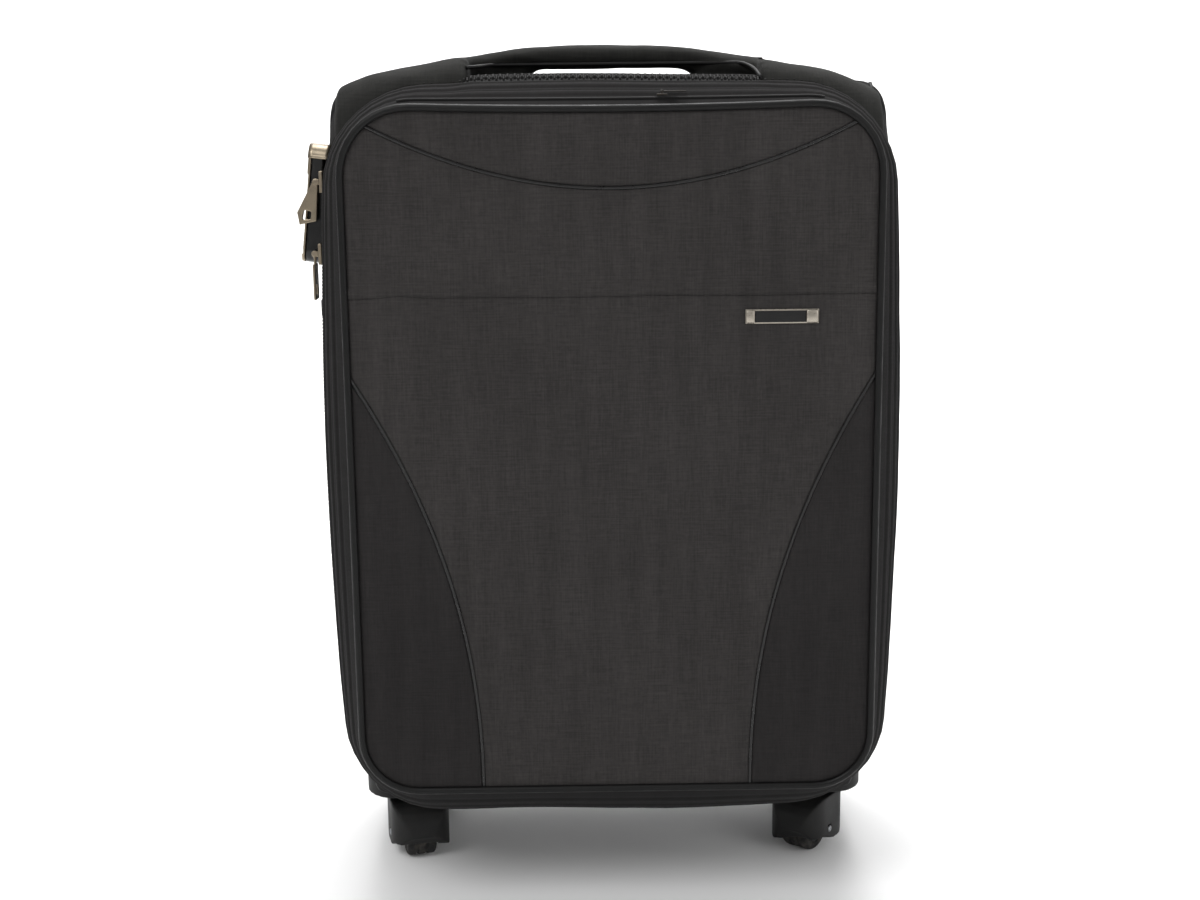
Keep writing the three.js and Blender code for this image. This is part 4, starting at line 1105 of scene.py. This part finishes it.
def puffed(obj, voxel, pressure, cap, held=None):
    """Swells a closed pad with cloth pressure, and keeps each point within cap of its start."""
    remesh = obj.modifiers.new("remesh", "REMESH")
    remesh.mode = "VOXEL"
    remesh.voxel_size = voxel * MM
    smooth = obj.modifiers.new("smooth", "SMOOTH")
    smooth.iterations = 4
    apply_modifiers(obj)
    start = [v.co.copy() for v in obj.data.vertices]
    cloth = obj.modifiers.new("cloth", "CLOTH")
    cloth.settings.use_pressure = True
    cloth.settings.uniform_pressure_force = pressure
    cloth.settings.effector_weights.gravity = 0
    cloth.settings.quality = 4
    cloth.settings.bending_stiffness = 0.2
    if held:
        cloth.settings.vertex_group_mass = held_group(obj, held)
    scene = bpy.context.scene
    for step in range(1, 19):
        scene.frame_set(step)
    graph = bpy.context.evaluated_depsgraph_get()
    swollen = [v.co.copy() for v in obj.evaluated_get(graph).data.vertices]
    obj.modifiers.clear()
    scene.frame_set(1)
    for vertex, was, now in zip(obj.data.vertices, start, swollen):
        move = now - was
        if move.length > cap * MM:
            move *= cap * MM / move.length
        vertex.co = was + move
    obj.vertex_groups.clear()
    return obj


def box_cloth(obj):
    """Cloth coordinates for a shape with no loops: flat, seen along each face's main direction."""
    mesh = obj.data
    layer = mesh.uv_layers.get("cloth") or mesh.uv_layers.new(name="cloth")
    for face in mesh.polygons:
        n = face.normal
        main = max(range(3), key=lambda axis: abs(n[axis]))
        a, b = ((1, 2), (0, 2), (0, 1))[main]
        for index in face.loop_indices:
            co = mesh.vertices[mesh.loops[index].vertex_index].co
            layer.data[index].uv = (co[a], co[b])


def loft_x(name, xs, section):
    return closed_skin(name, [section(x) for x in xs])


def web_section(x):
    """Cross-section of the pad's foot beside the way through: from the case up to the grip."""
    low = wall_top(x, BAR_BACK) - 4
    inside = min(x - HAND_GAP[0], HAND_GAP[1] - x)
    high = mix(BAR_UNDER + 5, low + 3, eased(inside / WEB_SLOPE))
    front, back = BAR_FRONT + 7, BAR_BACK - 3
    return [(x, front, low), (x, back, low), (x, back, high), (x, front, high)]


def top_handle():
    left, right = HAND_NOTCH
    solids = [
        loft_x("web_a", spread(left - 6, HAND_GAP[0] + WEB_SLOPE, 16), web_section),
        loft_x("web_b", spread(HAND_GAP[1] - WEB_SLOPE, right + 6, 16), web_section),
        loft_x("shoulder_a", spread(-SADDLE_HALF, left, 30), shoulder_section),
        loft_x("shoulder_b", spread(right, SADDLE_HALF, 30), shoulder_section),
        loft_x("bar", spread(left - 24, right + 24, 60), bar_section),
    ]
    handle = merged("top_handle_pad", solids)

    def sewn(co):
        x, y = (co.x - CENTRE_X) / MM, (co.y - SEAM_Y) / MM
        return co.z < (wall_top(x, y) + 1.2) * MM and not left + 3 < x < right - 3

    puffed(handle, 3.2, 3.0, 1.6, sewn)
    soften(handle)
    apply_modifiers(handle)
    for vertex in handle.data.vertices:
        x, y, z = vertex.co.x / MM, vertex.co.y / MM, vertex.co.z / MM
        vertex.co += vertex.normal * (0.35 * clump(x, y, z, 14) + 0.4 * clump(x, y, z, 45)) * MM
    box_cloth(handle)
    place(handle, "case", SADDLE_CLOTH, ["top_handle"])


def handle_trim():
    """Piping round the hand gap, the shoulder seams, and the small tucks on the crest."""
    left, right = HAND_NOTCH
    front, under = BAR_FRONT + 2.2, BAR_UNDER + 1.2
    foot = wall_top(right, SHOULDER_FRONT) + 2
    path = []
    for x in spread(left - 1, right - 12, 44):
        lead = 1 - eased((x - left) / 16)
        path.append((x, mix(front, SHOULDER_FRONT + 9, lead), under - 2.2 * lead))
    for angle in spread(80, 0, 9):
        turn = math.radians(angle)
        path.append((
            right - 12 + 12 * math.cos(turn),
            mix(SHOULDER_FRONT + 3, front, math.sin(turn)),
            foot + (under - foot) * math.sin(turn),
        ))
    cord("hand_gap_piping", path, 1.3, "case", PIPING_VINYL)
    for side, tag in ((-1, "left"), (1, "right")):
        path = []
        for y in spread(SADDLE_FRONT, SADDLE_BACK - 1, 18):
            share = (y - SADDLE_FRONT) / (SADDLE_BACK - SADDLE_FRONT)
            x = side * (SADDLE_HALF - 3)
            rise = 1.4 * math.sin(math.pi * min(max(share, 0), 1)) ** 0.6
            path.append((x, y, wall_top(x, max(y, RING_FRONT)) + rise - 1.2))
        cord(f"shoulder_piping_{tag}", path, 1.2, "case", PIPING_VINYL)
        tuck = [
            (side * x, y, crest(x) - 0.2) for x, y in zip(spread(96, 91, 6), spread(86, 106, 6))
        ]
        place(sweep(f"crest_tuck_{tag}", tuck, 1.1), "case", SADDLE_CLOTH)


def side_handle():
    source = frame["nodes"]["side_handle"]
    strap = linked("side_handle_pad", source.data.copy())
    box = case_box("side_handle")
    top, bottom = box[1].z * MM - 0.012, box[0].z * MM + 0.012
    puffed(strap, 1.9, 2.5, 0.9, lambda co: co.z > top or co.z < bottom)
    soften(strap)
    apply_modifiers(strap)
    box_cloth(strap)
    place(strap, "side_handle", SADDLE_CLOTH, ["side_handle"])
    for tag in ("upper", "lower"):
        name = f"side_handle_bracket_{tag}"
        cast(f"{name}_moulding", name, 0.6, 3, "case", MATTE_BLACK)


# ---------------------------------------------------------------- lock and zip pulls

LOCK_LENGTH, LOCK_WIDTH, LOCK_CORNER = 73, 28, 8
LOCK_TILT = math.radians(6.5)
LOCK_END_DEPTH = 12
DIAL_COUNT, DIAL_PITCH, DIAL_LOW = 3, 7.2, -3.2


def lock_place(x, y, z):
    """Lock millimetres (X in from its face, Z along it) to case millimetres."""
    low, high = case_box("lock_bezel")
    middle = (low + high) / 2
    c, s = math.cos(LOCK_TILT), math.sin(LOCK_TILT)
    x -= 0.7
    return (middle.x + x * c + z * s, middle.y + y, middle.z - x * s + z * c)


def lock_half(z, inset):
    """Half width of the lock's rounded outline at a height along it."""
    half, end, corner = LOCK_WIDTH / 2 - inset, LOCK_LENGTH / 2 - inset, LOCK_CORNER - inset
    return rounded(half, corner, abs(z) - (end - corner))


def lock_cap(name, z0, z1):
    """A crowned metal cap across one end of the lock's face."""
    rows, columns = 14, 12
    points = []
    for z in spread(z0, z1, rows):
        for u in spread(-1, 1, columns):
            half = lock_half(z, 0.2)
            edge = max(abs(u) ** 4, abs(2 * (z - z0) / (z1 - z0) - 1) ** 6)
            points.append(lock_place(-1.5 + 1.1 * edge, u * half, z))
    cap = add_mesh(name, points, grid_faces(rows, columns))
    weld(cap)
    thicken(cap, 1.4)
    place(cap, "expander", BRONZE)


def lock_end(name):
    """A strip of metal bent round the lock's top end."""
    half, end = LOCK_WIDTH / 2 + 0.3, LOCK_LENGTH / 2 + 0.3
    start = end - LOCK_CORNER
    bend = [(-half, start)]
    for centre, first in ((LOCK_CORNER - half, 180), (half - LOCK_CORNER, 90)):
        for angle in spread(first, first - 90, 9):
            turn = math.radians(angle)
            bend.append((centre + LOCK_CORNER * math.cos(turn), start + LOCK_CORNER * math.sin(turn)))
    bend.append((half, start))
    loops = [[lock_place(x, y, z) for y, z in bend] for x in spread(-0.9, LOCK_END_DEPTH, 6)]
    strip = skin(name, loops, wrap=False)
    thicken(strip, 0.8)
    place(strip, "expander", BRONZE)


def lock():
    cast("lock_body", "lock_case", 0.7, 3, "expander", GLOSS_BLACK)
    cast("lock_rim", "lock_bezel", 0.4, 2, "expander", BRONZE)
    lock_cap("lock_cap_upper", 18, 36.2)
    lock_cap("lock_cap_lower", -36.2, -31)
    lock_end("lock_end_upper")
    key = []
    for radius, depth in ((0.4, 0.6), (0.5, -0.2), (2.2, -0.4), (3.1, -0.6), (3.5, -0.2), (3.5, 1.5)):
        key.append([
            lock_place(depth, radius * math.cos(a), -11.5 + radius * math.sin(a))
            for a in full_turn(28)
        ])
    place(closed_skin("lock_key_cylinder", key), "expander", CHROME)
    ring = [lock_place(-0.6, 5.6 * y, -24 + 6.4 * z) for y, z in (
        (-1, -0.8), (-0.8, -1), (0.8, -1), (1, -0.8), (1, 0.8), (0.8, 1), (-0.8, 1), (-1, 0.8))]
    place(sweep("lock_button_ring", ring, 0.6, 8, closed=True), "expander", CHROME)
    cast("lock_button_cap", "lock_button", 0.35, 3, "lock_button", BRONZE)
    for index in range(DIAL_COUNT):
        lock_dial(index)


def lock_dial(index):
    """A knurled dial with ten grips and its numbers, which turns about the lock's length."""
    name = f"lock_dial_{index + 1}"
    centre = DIAL_LOW + (DIAL_COUNT - 1 - index) * DIAL_PITCH
    radius, half, axle = 5.6, 2.7, 4.6
    loops = []
    for z, inset in ((-half, 0.9), (-half + 0.25, 0.3), (-half + 0.7, 0), (half - 0.7, 0),
                     (half - 0.25, 0.3), (half, 0.9)):
        loop = []
        for angle in full_turn(60):
            grip = 0.32 * max(math.cos(10 * angle), 0) ** 6
            r = radius - inset + (grip - 0.28 if inset < 0.2 else -0.28)
            loop.append(lock_place(axle - r * math.cos(angle), r * math.sin(angle), centre + z))
        loops.append(loop)
    place(closed_skin(f"{name}_wheel", loops), name, MATTE_BLACK, [name])
    middle = Vector(lock_place(0, 0, 0))
    up = (Vector(lock_place(0, 0, 1)) - middle).normalized()
    face = radius - 0.26
    for digit in range(10):
        angle = 2 * math.pi * (digit + 0.5) / 10
        curve = bpy.data.curves.new(f"{name}_number_{digit}", "FONT")
        curve.body = str(digit)
        curve.size = 3.0 * MM
        curve.extrude = 0.06 * MM
        curve.align_x = curve.align_y = "CENTER"
        number = linked(curve.name, curve)
        spot = row(*lock_place(axle - face * math.cos(angle), face * math.sin(angle), centre))
        out = (Vector(lock_place(-math.cos(angle), math.sin(angle), 0)) - middle).normalized()
        side = up.cross(out)
        number.matrix_world = Matrix.Translation(spot) @ Matrix((side, up, out)).transposed().to_4x4()
        place(number, name, BRONZE)


def zip_pulls():
    for node in ("main_slider_upper", "main_puller_upper", "main_slider_lower", "main_puller_lower",
                 "expansion_slider", "expansion_puller"):
        cast(f"{node}_cast", node, 0.36, 2, node, BRONZE)
    for node in ("pocket_slider", "pocket_puller"):
        cast(f"{node}_cast", node, 0.22, 2, node, GUNMETAL)


BADGE_ENDS = (5.5, 7.4)  # widths of the left and right metal ends


def badge():
    """A blank name plate: two metal ends, thin rails and a dark inlay."""
    low, high = case_box("badge_plate")
    width, height = high.x - low.x, high.z - low.z
    middle_x, middle_z = (low.x + high.x) / 2, (low.z + high.z) / 2
    cast("badge_body", "badge_plate", 0.3, 2, "lid", NICKEL)
    inlay = sheet_grid(
        "badge_inlay", spread(low.x + BADGE_ENDS[0], high.x - BADGE_ENDS[1], 24),
        lambda x: low.z + 0.9, lambda x: high.z - 0.9,
        lambda x, z, u, v: low.y - 0.12 - 0.05 * math.sin(math.pi * v), 8)
    thicken(inlay, 0.3)
    place(inlay, "lid", MATTE_BLACK)
    left, right = middle_x - (width / 2 - 0.3), middle_x + (width / 2 - 0.3)
    for tag, start, finish in (
        ("left", left, low.x + BADGE_ENDS[0]),
        ("right", high.x - BADGE_ENDS[1], right),
    ):
        end = sheet_grid(
            f"badge_end_{tag}", spread(start, finish, 12),
            lambda x: middle_z - height / 2 + 0.3, lambda x: middle_z + height / 2 - 0.3,
            lambda x, z, u, v: low.y - 0.9 + 0.8 * (2 * v - 1) ** 2 + 0.3 * abs(2 * u - 1) ** 6, 10)
        thicken(end, 0.5)
        place(end, "lid", NICKEL)


# ---------------------------------------------------------------- base, casters, trolley


# The outer outline of a corner of the base: distance from the middle, and height.
GUARD = ((138, 50.6), (150, 50.0), (158, 50.2), (162.6, 52), (164.6, 56), (165, 64), (165.4, 69),
         (169, 74), (172.5, 80))
GUARD_THICK = 7


def guard_section(side, y, inset):
    """The moulded corner of the base: an upright side over the wheels, turned under the case."""
    outer = [(side * (x - inset), y, z + inset * 0.5) for x, z in GUARD]
    inner = [(side * (x - GUARD_THICK), y, z + GUARD_THICK * 0.6) for x, z in reversed(GUARD)]
    return outer + inner


def base():
    cast("base_tray_moulding", "base_tray", 1.5, 3, "case", BOARD_BLACK)
    for side, tag in ((1, "right"), (-1, "left")):
        for start, finish, end in (
            (TRAY_FRONT - 1, TRAY_FRONT + 30, "front"),
            (TUB_BACK - 32, TUB_BACK - 1, "rear"),
        ):
            loops = []
            for y in spread(start, finish, 12):
                near = min(y - start, finish - y)
                loops.append(guard_section(side, y, 1.6 * (1 - eased(near / 4))))
            guard = closed_skin(f"corner_guard_{tag}_{end}", loops, side < 0)
            bevel = guard.modifiers.new("edges", "BEVEL")
            bevel.width = 0.8 * MM
            bevel.segments = 3
            place(guard, "case", BOARD_BLACK)


def lathe(name, profile, centre, axis, sides=48, ribs=None):
    """Turns (radius, along) pairs about an axis. ribs(angle, radius, along) adds to the along value."""
    axis = Vector(axis).normalized()
    up = Vector((0, 0, 1))
    side = axis.cross(up).normalized()
    loops = []
    for radius, along in profile:
        loop = []
        for angle in full_turn(sides):
            shift = ribs(angle, radius, along) if ribs else 0
            spot = centre + axis * (along + shift) + (side * math.cos(angle) + up * math.sin(angle)) * radius
            loop.append(tuple(spot))
        loops.append(loop)
    loops.append(loops[0])
    obj = skin(name, loops)
    weld(obj)
    box_cloth(obj)
    return obj


WHEEL_HALF = 10
TYRE_INNER = 11.6


def wheel(tag, axis):
    node = f"wheel_{tag}"
    low, high = case_box(node)
    centre = (low + high) / 2
    radius = (high.z - low.z) / 2
    tread = [(TYRE_INNER, -WHEEL_HALF + 0.8), (TYRE_INNER + 1, -WHEEL_HALF)]
    for angle in spread(-80, 0, 6):
        turn = math.radians(angle)
        tread.append((radius - 3 + 3 * math.cos(turn), -WHEEL_HALF + 3 + 3 * math.sin(turn)))
    for groove in (-3, 3):
        for step, drop in ((-1.2, 0), (-0.8, 0.9), (0.8, 0.9), (1.2, 0)):
            tread.append((radius - drop, groove + step))
    tread += [(r, -along) for r, along in reversed(tread[:8])]
    place(lathe(f"tyre_{tag}", tread, centre, axis, 64), node, TYRE_RUBBER, [node])

    def spokes(angle, r, along):
        dish = 2.2 if 4.6 < r < 10.4 else 0
        return math.copysign(dish * (1 - max(math.cos(6 * angle), 0) ** 4), -along)

    face = WHEEL_HALF - 0.6
    hub = [(2.3, -face), (3.6, -face - 0.2), (4.6, -face + 0.3), (6, -face + 0.4), (8, -face + 0.4),
           (10, -face + 0.3), (10.8, -face), (TYRE_INNER, -face + 0.2)]
    hub += [(r, -along) for r, along in reversed(hub)]
    place(lathe(f"hub_{tag}", hub, centre, axis, 96, spokes), node, GREY_HUB)


AXLE_END = 19.9  # from the middle of the wheel to the caps on its axle
HOOD_LIFT = 5.5  # how much higher the hood's front edge is than its sides


def raise_hood_front(hood, mount):
    """Lifts the front of a caster's hood, so that the wheel shows under it."""
    middle = (mount[0].y + mount[1].y) / 2
    lowest = min(v.co.z for v in hood.data.vertices)
    for vertex in hood.data.vertices:
        y = (vertex.co.y - SEAM_Y) / MM
        front = eased((middle - y - 12) / 14)
        low = 1 - eased((vertex.co.z - lowest) / (18 * MM))
        vertex.co.z += HOOD_LIFT * MM * front * low


def casters():
    axes = {joint["name"]: joint["axis"] for joint in frame["joints"]}
    for tag in ("fl", "fr", "rl", "rr"):
        axis = Vector(axes[f"wheel_{tag}_spin"])
        wheel(tag, axis)
        hood = moulded(f"fork_{tag}_hood", f"fork_{tag}", 0.95, 4)
        raise_hood_front(hood, case_box(f"caster_mount_{tag}"))
        place(hood, f"caster_{tag}", MATTE_BLACK, [f"fork_{tag}"])
        low, high = case_box(f"wheel_{tag}")
        centre = (low + high) / 2
        for index, side in enumerate((-1, 1)):
            cap = [(0.5, 0.9), (1.4, 0.75), (2.1, 0.3), (2.4, -0.3), (0.5, -0.3)]
            spot = centre + axis * side * AXLE_END
            place(lathe(f"axle_cap_{tag}_{index}", [(r, side * a) for r, a in cap], spot, axis, 24),
                  f"caster_{tag}", STEEL)


def trolley():
    cast("trolley_bezel_moulding", "trolley_bezel", 1.0, 3, "case", MATTE_BLACK)
    cast("trolley_grip_moulding", "trolley_grip", 0.9, 4, "trolley_top", MATTE_BLACK)
    cast("trolley_button_moulding", "trolley_button", 0.5, 3, "trolley_button",
         GLOSS_BLACK)


def carried_nodes():
    """CAD pieces whose shape is right get their own materials."""
    looks = {
        "frame_hoop": STEEL, "back_board": BOARD_BLACK, "trolley_foot": BOARD_BLACK,
        "trolley_tube_left": ALUMINIUM, "trolley_tube_right": ALUMINIUM,
        "mid_tube_left": ALUMINIUM, "mid_tube_right": ALUMINIUM,
        "top_tube_left": ALUMINIUM, "top_tube_right": ALUMINIUM,
    }
    looks.update({f"caster_mount_{tag}": BOARD_BLACK for tag in ("fl", "fr", "rl", "rr")})
    looks.update({f"axle_{tag}": STEEL for tag in ("fl", "fr", "rl", "rr")})
    for name, material in looks.items():
        node = frame["nodes"][name]
        for item in node.material_slots:
            item.link = "OBJECT"
            item.material = material


# ---------------------------------------------------------------- inside

LINING_INSET = 6.2
LINING_FRONT, LINING_BACK = (corner.y for corner in case_box("lining"))


def crumpled(loop, amount):
    middle_z = 289
    folded = []
    for x, y, z in loop:
        inward = Vector((-x, middle_z - z)).normalized()
        fold = amount * (0.5 + 0.5 * clump(x, y, z, 34)) + 0.5 * amount * abs(clump(x, y * 1.6, z, 13))
        folded.append((x + inward.x * fold, y, z + inward.y * fold))
    return folded


def lining():
    loops = []
    for y in spread(LINING_FRONT, LINING_BACK - 3, 44):
        share = min(max((y - TUB_FRONT) / (TUB_BACK - TUB_FRONT), 0), 1)
        loops.append(crumpled(outline(tub_station(share)._replace(y=y), LINING_INSET), 1.6))
    last = tub_station((LINING_BACK - TUB_FRONT) / (TUB_BACK - TUB_FRONT))
    loops.append(outline(last._replace(y=LINING_BACK - 1), LINING_INSET + 3))
    loops.append(outline(last._replace(y=LINING_BACK - 0.6), LINING_INSET + 12))
    wall = skin("lining_wall", loops, flip=True)
    thicken(wall, -SHEET_THICK)
    place(wall, "case", LINING_SATIN, ["lining"])

    half = last.half - LINING_INSET - 8

    def depth(x, z):
        ridge = 2.2 * math.exp(-((abs(x) - 80) / 13) ** 4)
        return LINING_BACK - 1.4 - ridge - 0.9 * clump(x, 3, z, 48) - 0.4 * clump(x, 3, z, 15)

    floor_z, ceiling = 66, 508
    back = cross_grid("lining_back", spread(floor_z, ceiling, 90), lambda z: -half, lambda z: half, depth, 70)
    thicken(back, SHEET_THICK)
    place(back, "case", LINING_SATIN)


STRAP_WIDTH = 25


STRAP_STEPS = 40
BUCKLE_Z = 290


def strap(name, start, finish, y):
    """A strap's half from its anchor in a corner to the buckle."""
    points, uvs = [], []
    run = finish - start
    across = Vector((-run.y, run.x)).normalized() * STRAP_WIDTH / 2
    for share in spread(0, 1, STRAP_STEPS):
        spot = start + run * share
        lift = 8 * (1 - min(share * 8, 1)) - 2.5 * math.sin(math.pi * share)
        for k in (-1, -0.5, 0, 0.5, 1):
            points.append((spot.x + across.x * k, y + lift + 0.5 * abs(k), spot.y + across.y * k))
    size = run.length / (STRAP_STEPS - 1)
    for i in range(STRAP_STEPS - 1):
        for k in range(4):
            u, v = k * 6.2, i * size
            uvs.append([(u, v), (u + 6.2, v), (u + 6.2, v + size), (u, v + size)])
    webbing = add_mesh(name, points, grid_faces(STRAP_STEPS, 5), uvs)
    thicken(webbing, 1.2)
    place(webbing, "case", WEBBING)


def straps():
    """Two packing straps over the floor of the case, buckled in the middle."""
    y = LINING_BACK - 11
    for side, tag in ((-1, "left"), (1, "right")):
        for end, level, from_buckle in (("lower", 84, -14), ("upper", 496, 14)):
            start = Vector((side * 118, level))
            strap(f"packing_strap_{tag}_{end}", start, Vector((side * 8, BUCKLE_Z + from_buckle)), y)
    for index, (x, wide) in enumerate(((-9, 20), (9, 18))):
        loops = []
        for share, size in ((0, 0.6), (0.08, 0.9), (0.25, 1), (0.75, 1), (0.92, 0.9), (1, 0.6)):
            loops.append([
                (x + (wide / 2) * size * math.copysign(abs(math.cos(a)) ** 0.4, math.cos(a)),
                 y - 7 + 8 * share,
                 BUCKLE_Z + 17 * size * math.copysign(abs(math.sin(a)) ** 0.4, math.sin(a)))
                for a in full_turn(40)
            ])
        place(closed_skin(f"strap_buckle_{index}", loops), "case", MATTE_BLACK)


def lid_lining():
    loops = [crumpled(outline(lid_station(share), 5.2), 1.2) for share in spread(1, 0.16, 20)]
    wall = skin("lid_lining_wall", loops)
    thicken(wall, SHEET_THICK)
    place(wall, "lid", LINING_SATIN)

    def depth(x, z):
        return 6.0 + 0.8 * clump(x, 70, z, 50) + 0.3 * clump(x, 70, z, 14)

    def inside(z):
        return max(seam_half(z) - 5.5, 2)

    face = cross_grid("lid_lining_face", spread(SEAM.bottom + 4, SEAM.top - 8, 90),
                      lambda z: -inside(z), inside, depth, 60)
    face.data.flip_normals()
    thicken(face, SHEET_THICK)
    place(face, "lid", LINING_SATIN)


def net_pocket():
    """A net pocket inside the lid: knotted mesh and a bound edge."""
    low, high, half, cell = 112, 330, 132, 5.0
    columns, rows = int(2 * half / cell), int((high - low) / cell)
    points = []
    for i in range(rows + 1):
        for j in range(columns + 1):
            x = mix(-half, half, j / columns)
            z = mix(low, high, i / rows)
            shift = 0.5 * cell * (i % 2) if 0 < j < columns else 0
            belly = math.sin(math.pi * i / rows) * math.sin(math.pi * j / columns)
            points.append((x + shift, 10.5 + 4.5 * belly, z))
    net = add_mesh("lid_net_pocket", points, grid_faces(rows + 1, columns + 1, turned=True))
    wire = net.modifiers.new("knots", "WIREFRAME")
    wire.thickness = 0.7 * MM
    wire.use_even_offset = False
    apply_modifiers(net)
    place(net, "lid", NET_NYLON)
    # The net's own cloth, without its holes, is about two thirds of the rectangle that it spans.
    middle = (low + high) / 2
    rim = [(x, 10.2, z) for x, z in (
        (-half, low), (0, low), (half, low), (half, middle),
        (half, high), (0, high), (-half, high), (-half, middle))]
    dense = []
    for a, b in zip(rim, rim[1:] + rim[:1]):
        dense += [tuple(Vector(a).lerp(Vector(b), s)) for s in spread(0, 0.95, 12)]
    edge = sweep("lid_net_binding", dense, 4.0, 12, closed=True, flatten=0.35, out=lambda p: (0, 1, 0))
    place(edge, "lid", TAPE_WEAVE)


# ---------------------------------------------------------------- stage

CAMERA_PLACE = Vector((-0.015833, -1.085758, 0.505882))
CAMERA_PITCH, CAMERA_YAW, CAMERA_ROLL = (math.radians(a) for a in (11.461, 0.597, 0.595))
CAMERA_LENS = 49.4446  # for a 36 mm sensor


def camera():
    data = bpy.data.cameras.new("camera")
    data.lens = CAMERA_LENS
    data.sensor_width = 36
    data.clip_start = 0.05
    data.clip_end = 50
    view = linked("camera", data)
    cp, sp = math.cos(CAMERA_PITCH), math.sin(CAMERA_PITCH)
    cy, sy = math.cos(CAMERA_YAW), math.sin(CAMERA_YAW)
    cr, sr = math.cos(CAMERA_ROLL), math.sin(CAMERA_ROLL)
    ahead = Vector((sy * cp, cy * cp, -sp))
    level = Vector((cy, -sy, 0))
    above = Vector((sy * sp, cy * sp, cp))
    right = level * cr - above * sr
    up = level * sr + above * cr
    turn = Matrix((right, up, -ahead)).transposed().to_4x4()
    view.matrix_world = Matrix.Translation(CAMERA_PLACE) @ turn
    bpy.context.scene.camera = view


def light(name, place_at, aim, size, power, colour=(1, 1, 1)):
    data = bpy.data.lights.new(name, "AREA")
    data.shape = "DISK"
    data.size = size
    data.energy = power
    data.color = colour
    lamp = linked(name, data)
    lamp.location = place_at
    lamp.rotation_euler = (Vector(aim) - Vector(place_at)).to_track_quat("-Z", "Y").to_euler()


def stage():
    """A pale floor that sweeps up into a backdrop, and soft studio light."""
    profile = [(-6, 0), (2.2, 0)]
    profile += [(2.2 + 1.2 * math.sin(a), 1.2 - 1.2 * math.cos(a)) for a in (
        math.radians(d) for d in spread(9, 90, 10))]
    profile.append((3.4, 6))
    loops = [[(x, y, z) for x in (-7, 7)] for y, z in profile]
    mesh = bpy.data.meshes.new("floor")
    points = [p for loop in loops for p in loop]
    faces = [[2 * i, 2 * i + 1, 2 * i + 3, 2 * i + 2] for i in range(len(loops) - 1)]
    mesh.from_pydata(points, [], faces)
    mesh.shade_smooth()
    floor = linked("floor", mesh)
    look = Look("pale floor", 0.85, specular=0.2)
    cloud = look.grain(look.solid(), 3.0)
    look.colour(look.blend(cloud, tone("#f4f4f4"), tone("#fafafa")))
    mesh.materials.append(look.bump(look.grain(look.solid(), 160.0), 0.02))
    world = bpy.data.worlds.new("studio")
    world.use_nodes = True
    world.node_tree.nodes["Background"].inputs["Color"].default_value = (1, 1, 1, 1)
    world.node_tree.nodes["Background"].inputs["Strength"].default_value = 0.5
    bpy.context.scene.world = world
    bpy.context.scene.view_settings.view_transform = "Standard"
    light("key", (-1.1, -1.7, 2.1), (0, 0, 0.3), 1.2, 30)
    light("fill", (1.6, -1.5, 1.1), (0, 0, 0.25), 1.6, 10)
    light("top", (0.1, 0.5, 2.6), (0, 0.1, 0), 1.6, 34)
    light("backdrop", (0, 1.4, 2.8), (0, 3.2, 0.9), 2.4, 110)


# ---------------------------------------------------------------- all pieces

camera()
stage()
front_panels()
front_cords()
lid_wall()
ring_wall()
tub_wall()
back_panel()
expansion_gusset()
hinge_tape()
zips()
pocket_zip()
top_handle()
handle_trim()
side_handle()
lock()
zip_pulls()
badge()
base()
casters()
trolley()
carried_nodes()
lining()
straps()
lid_lining()
net_pocket()
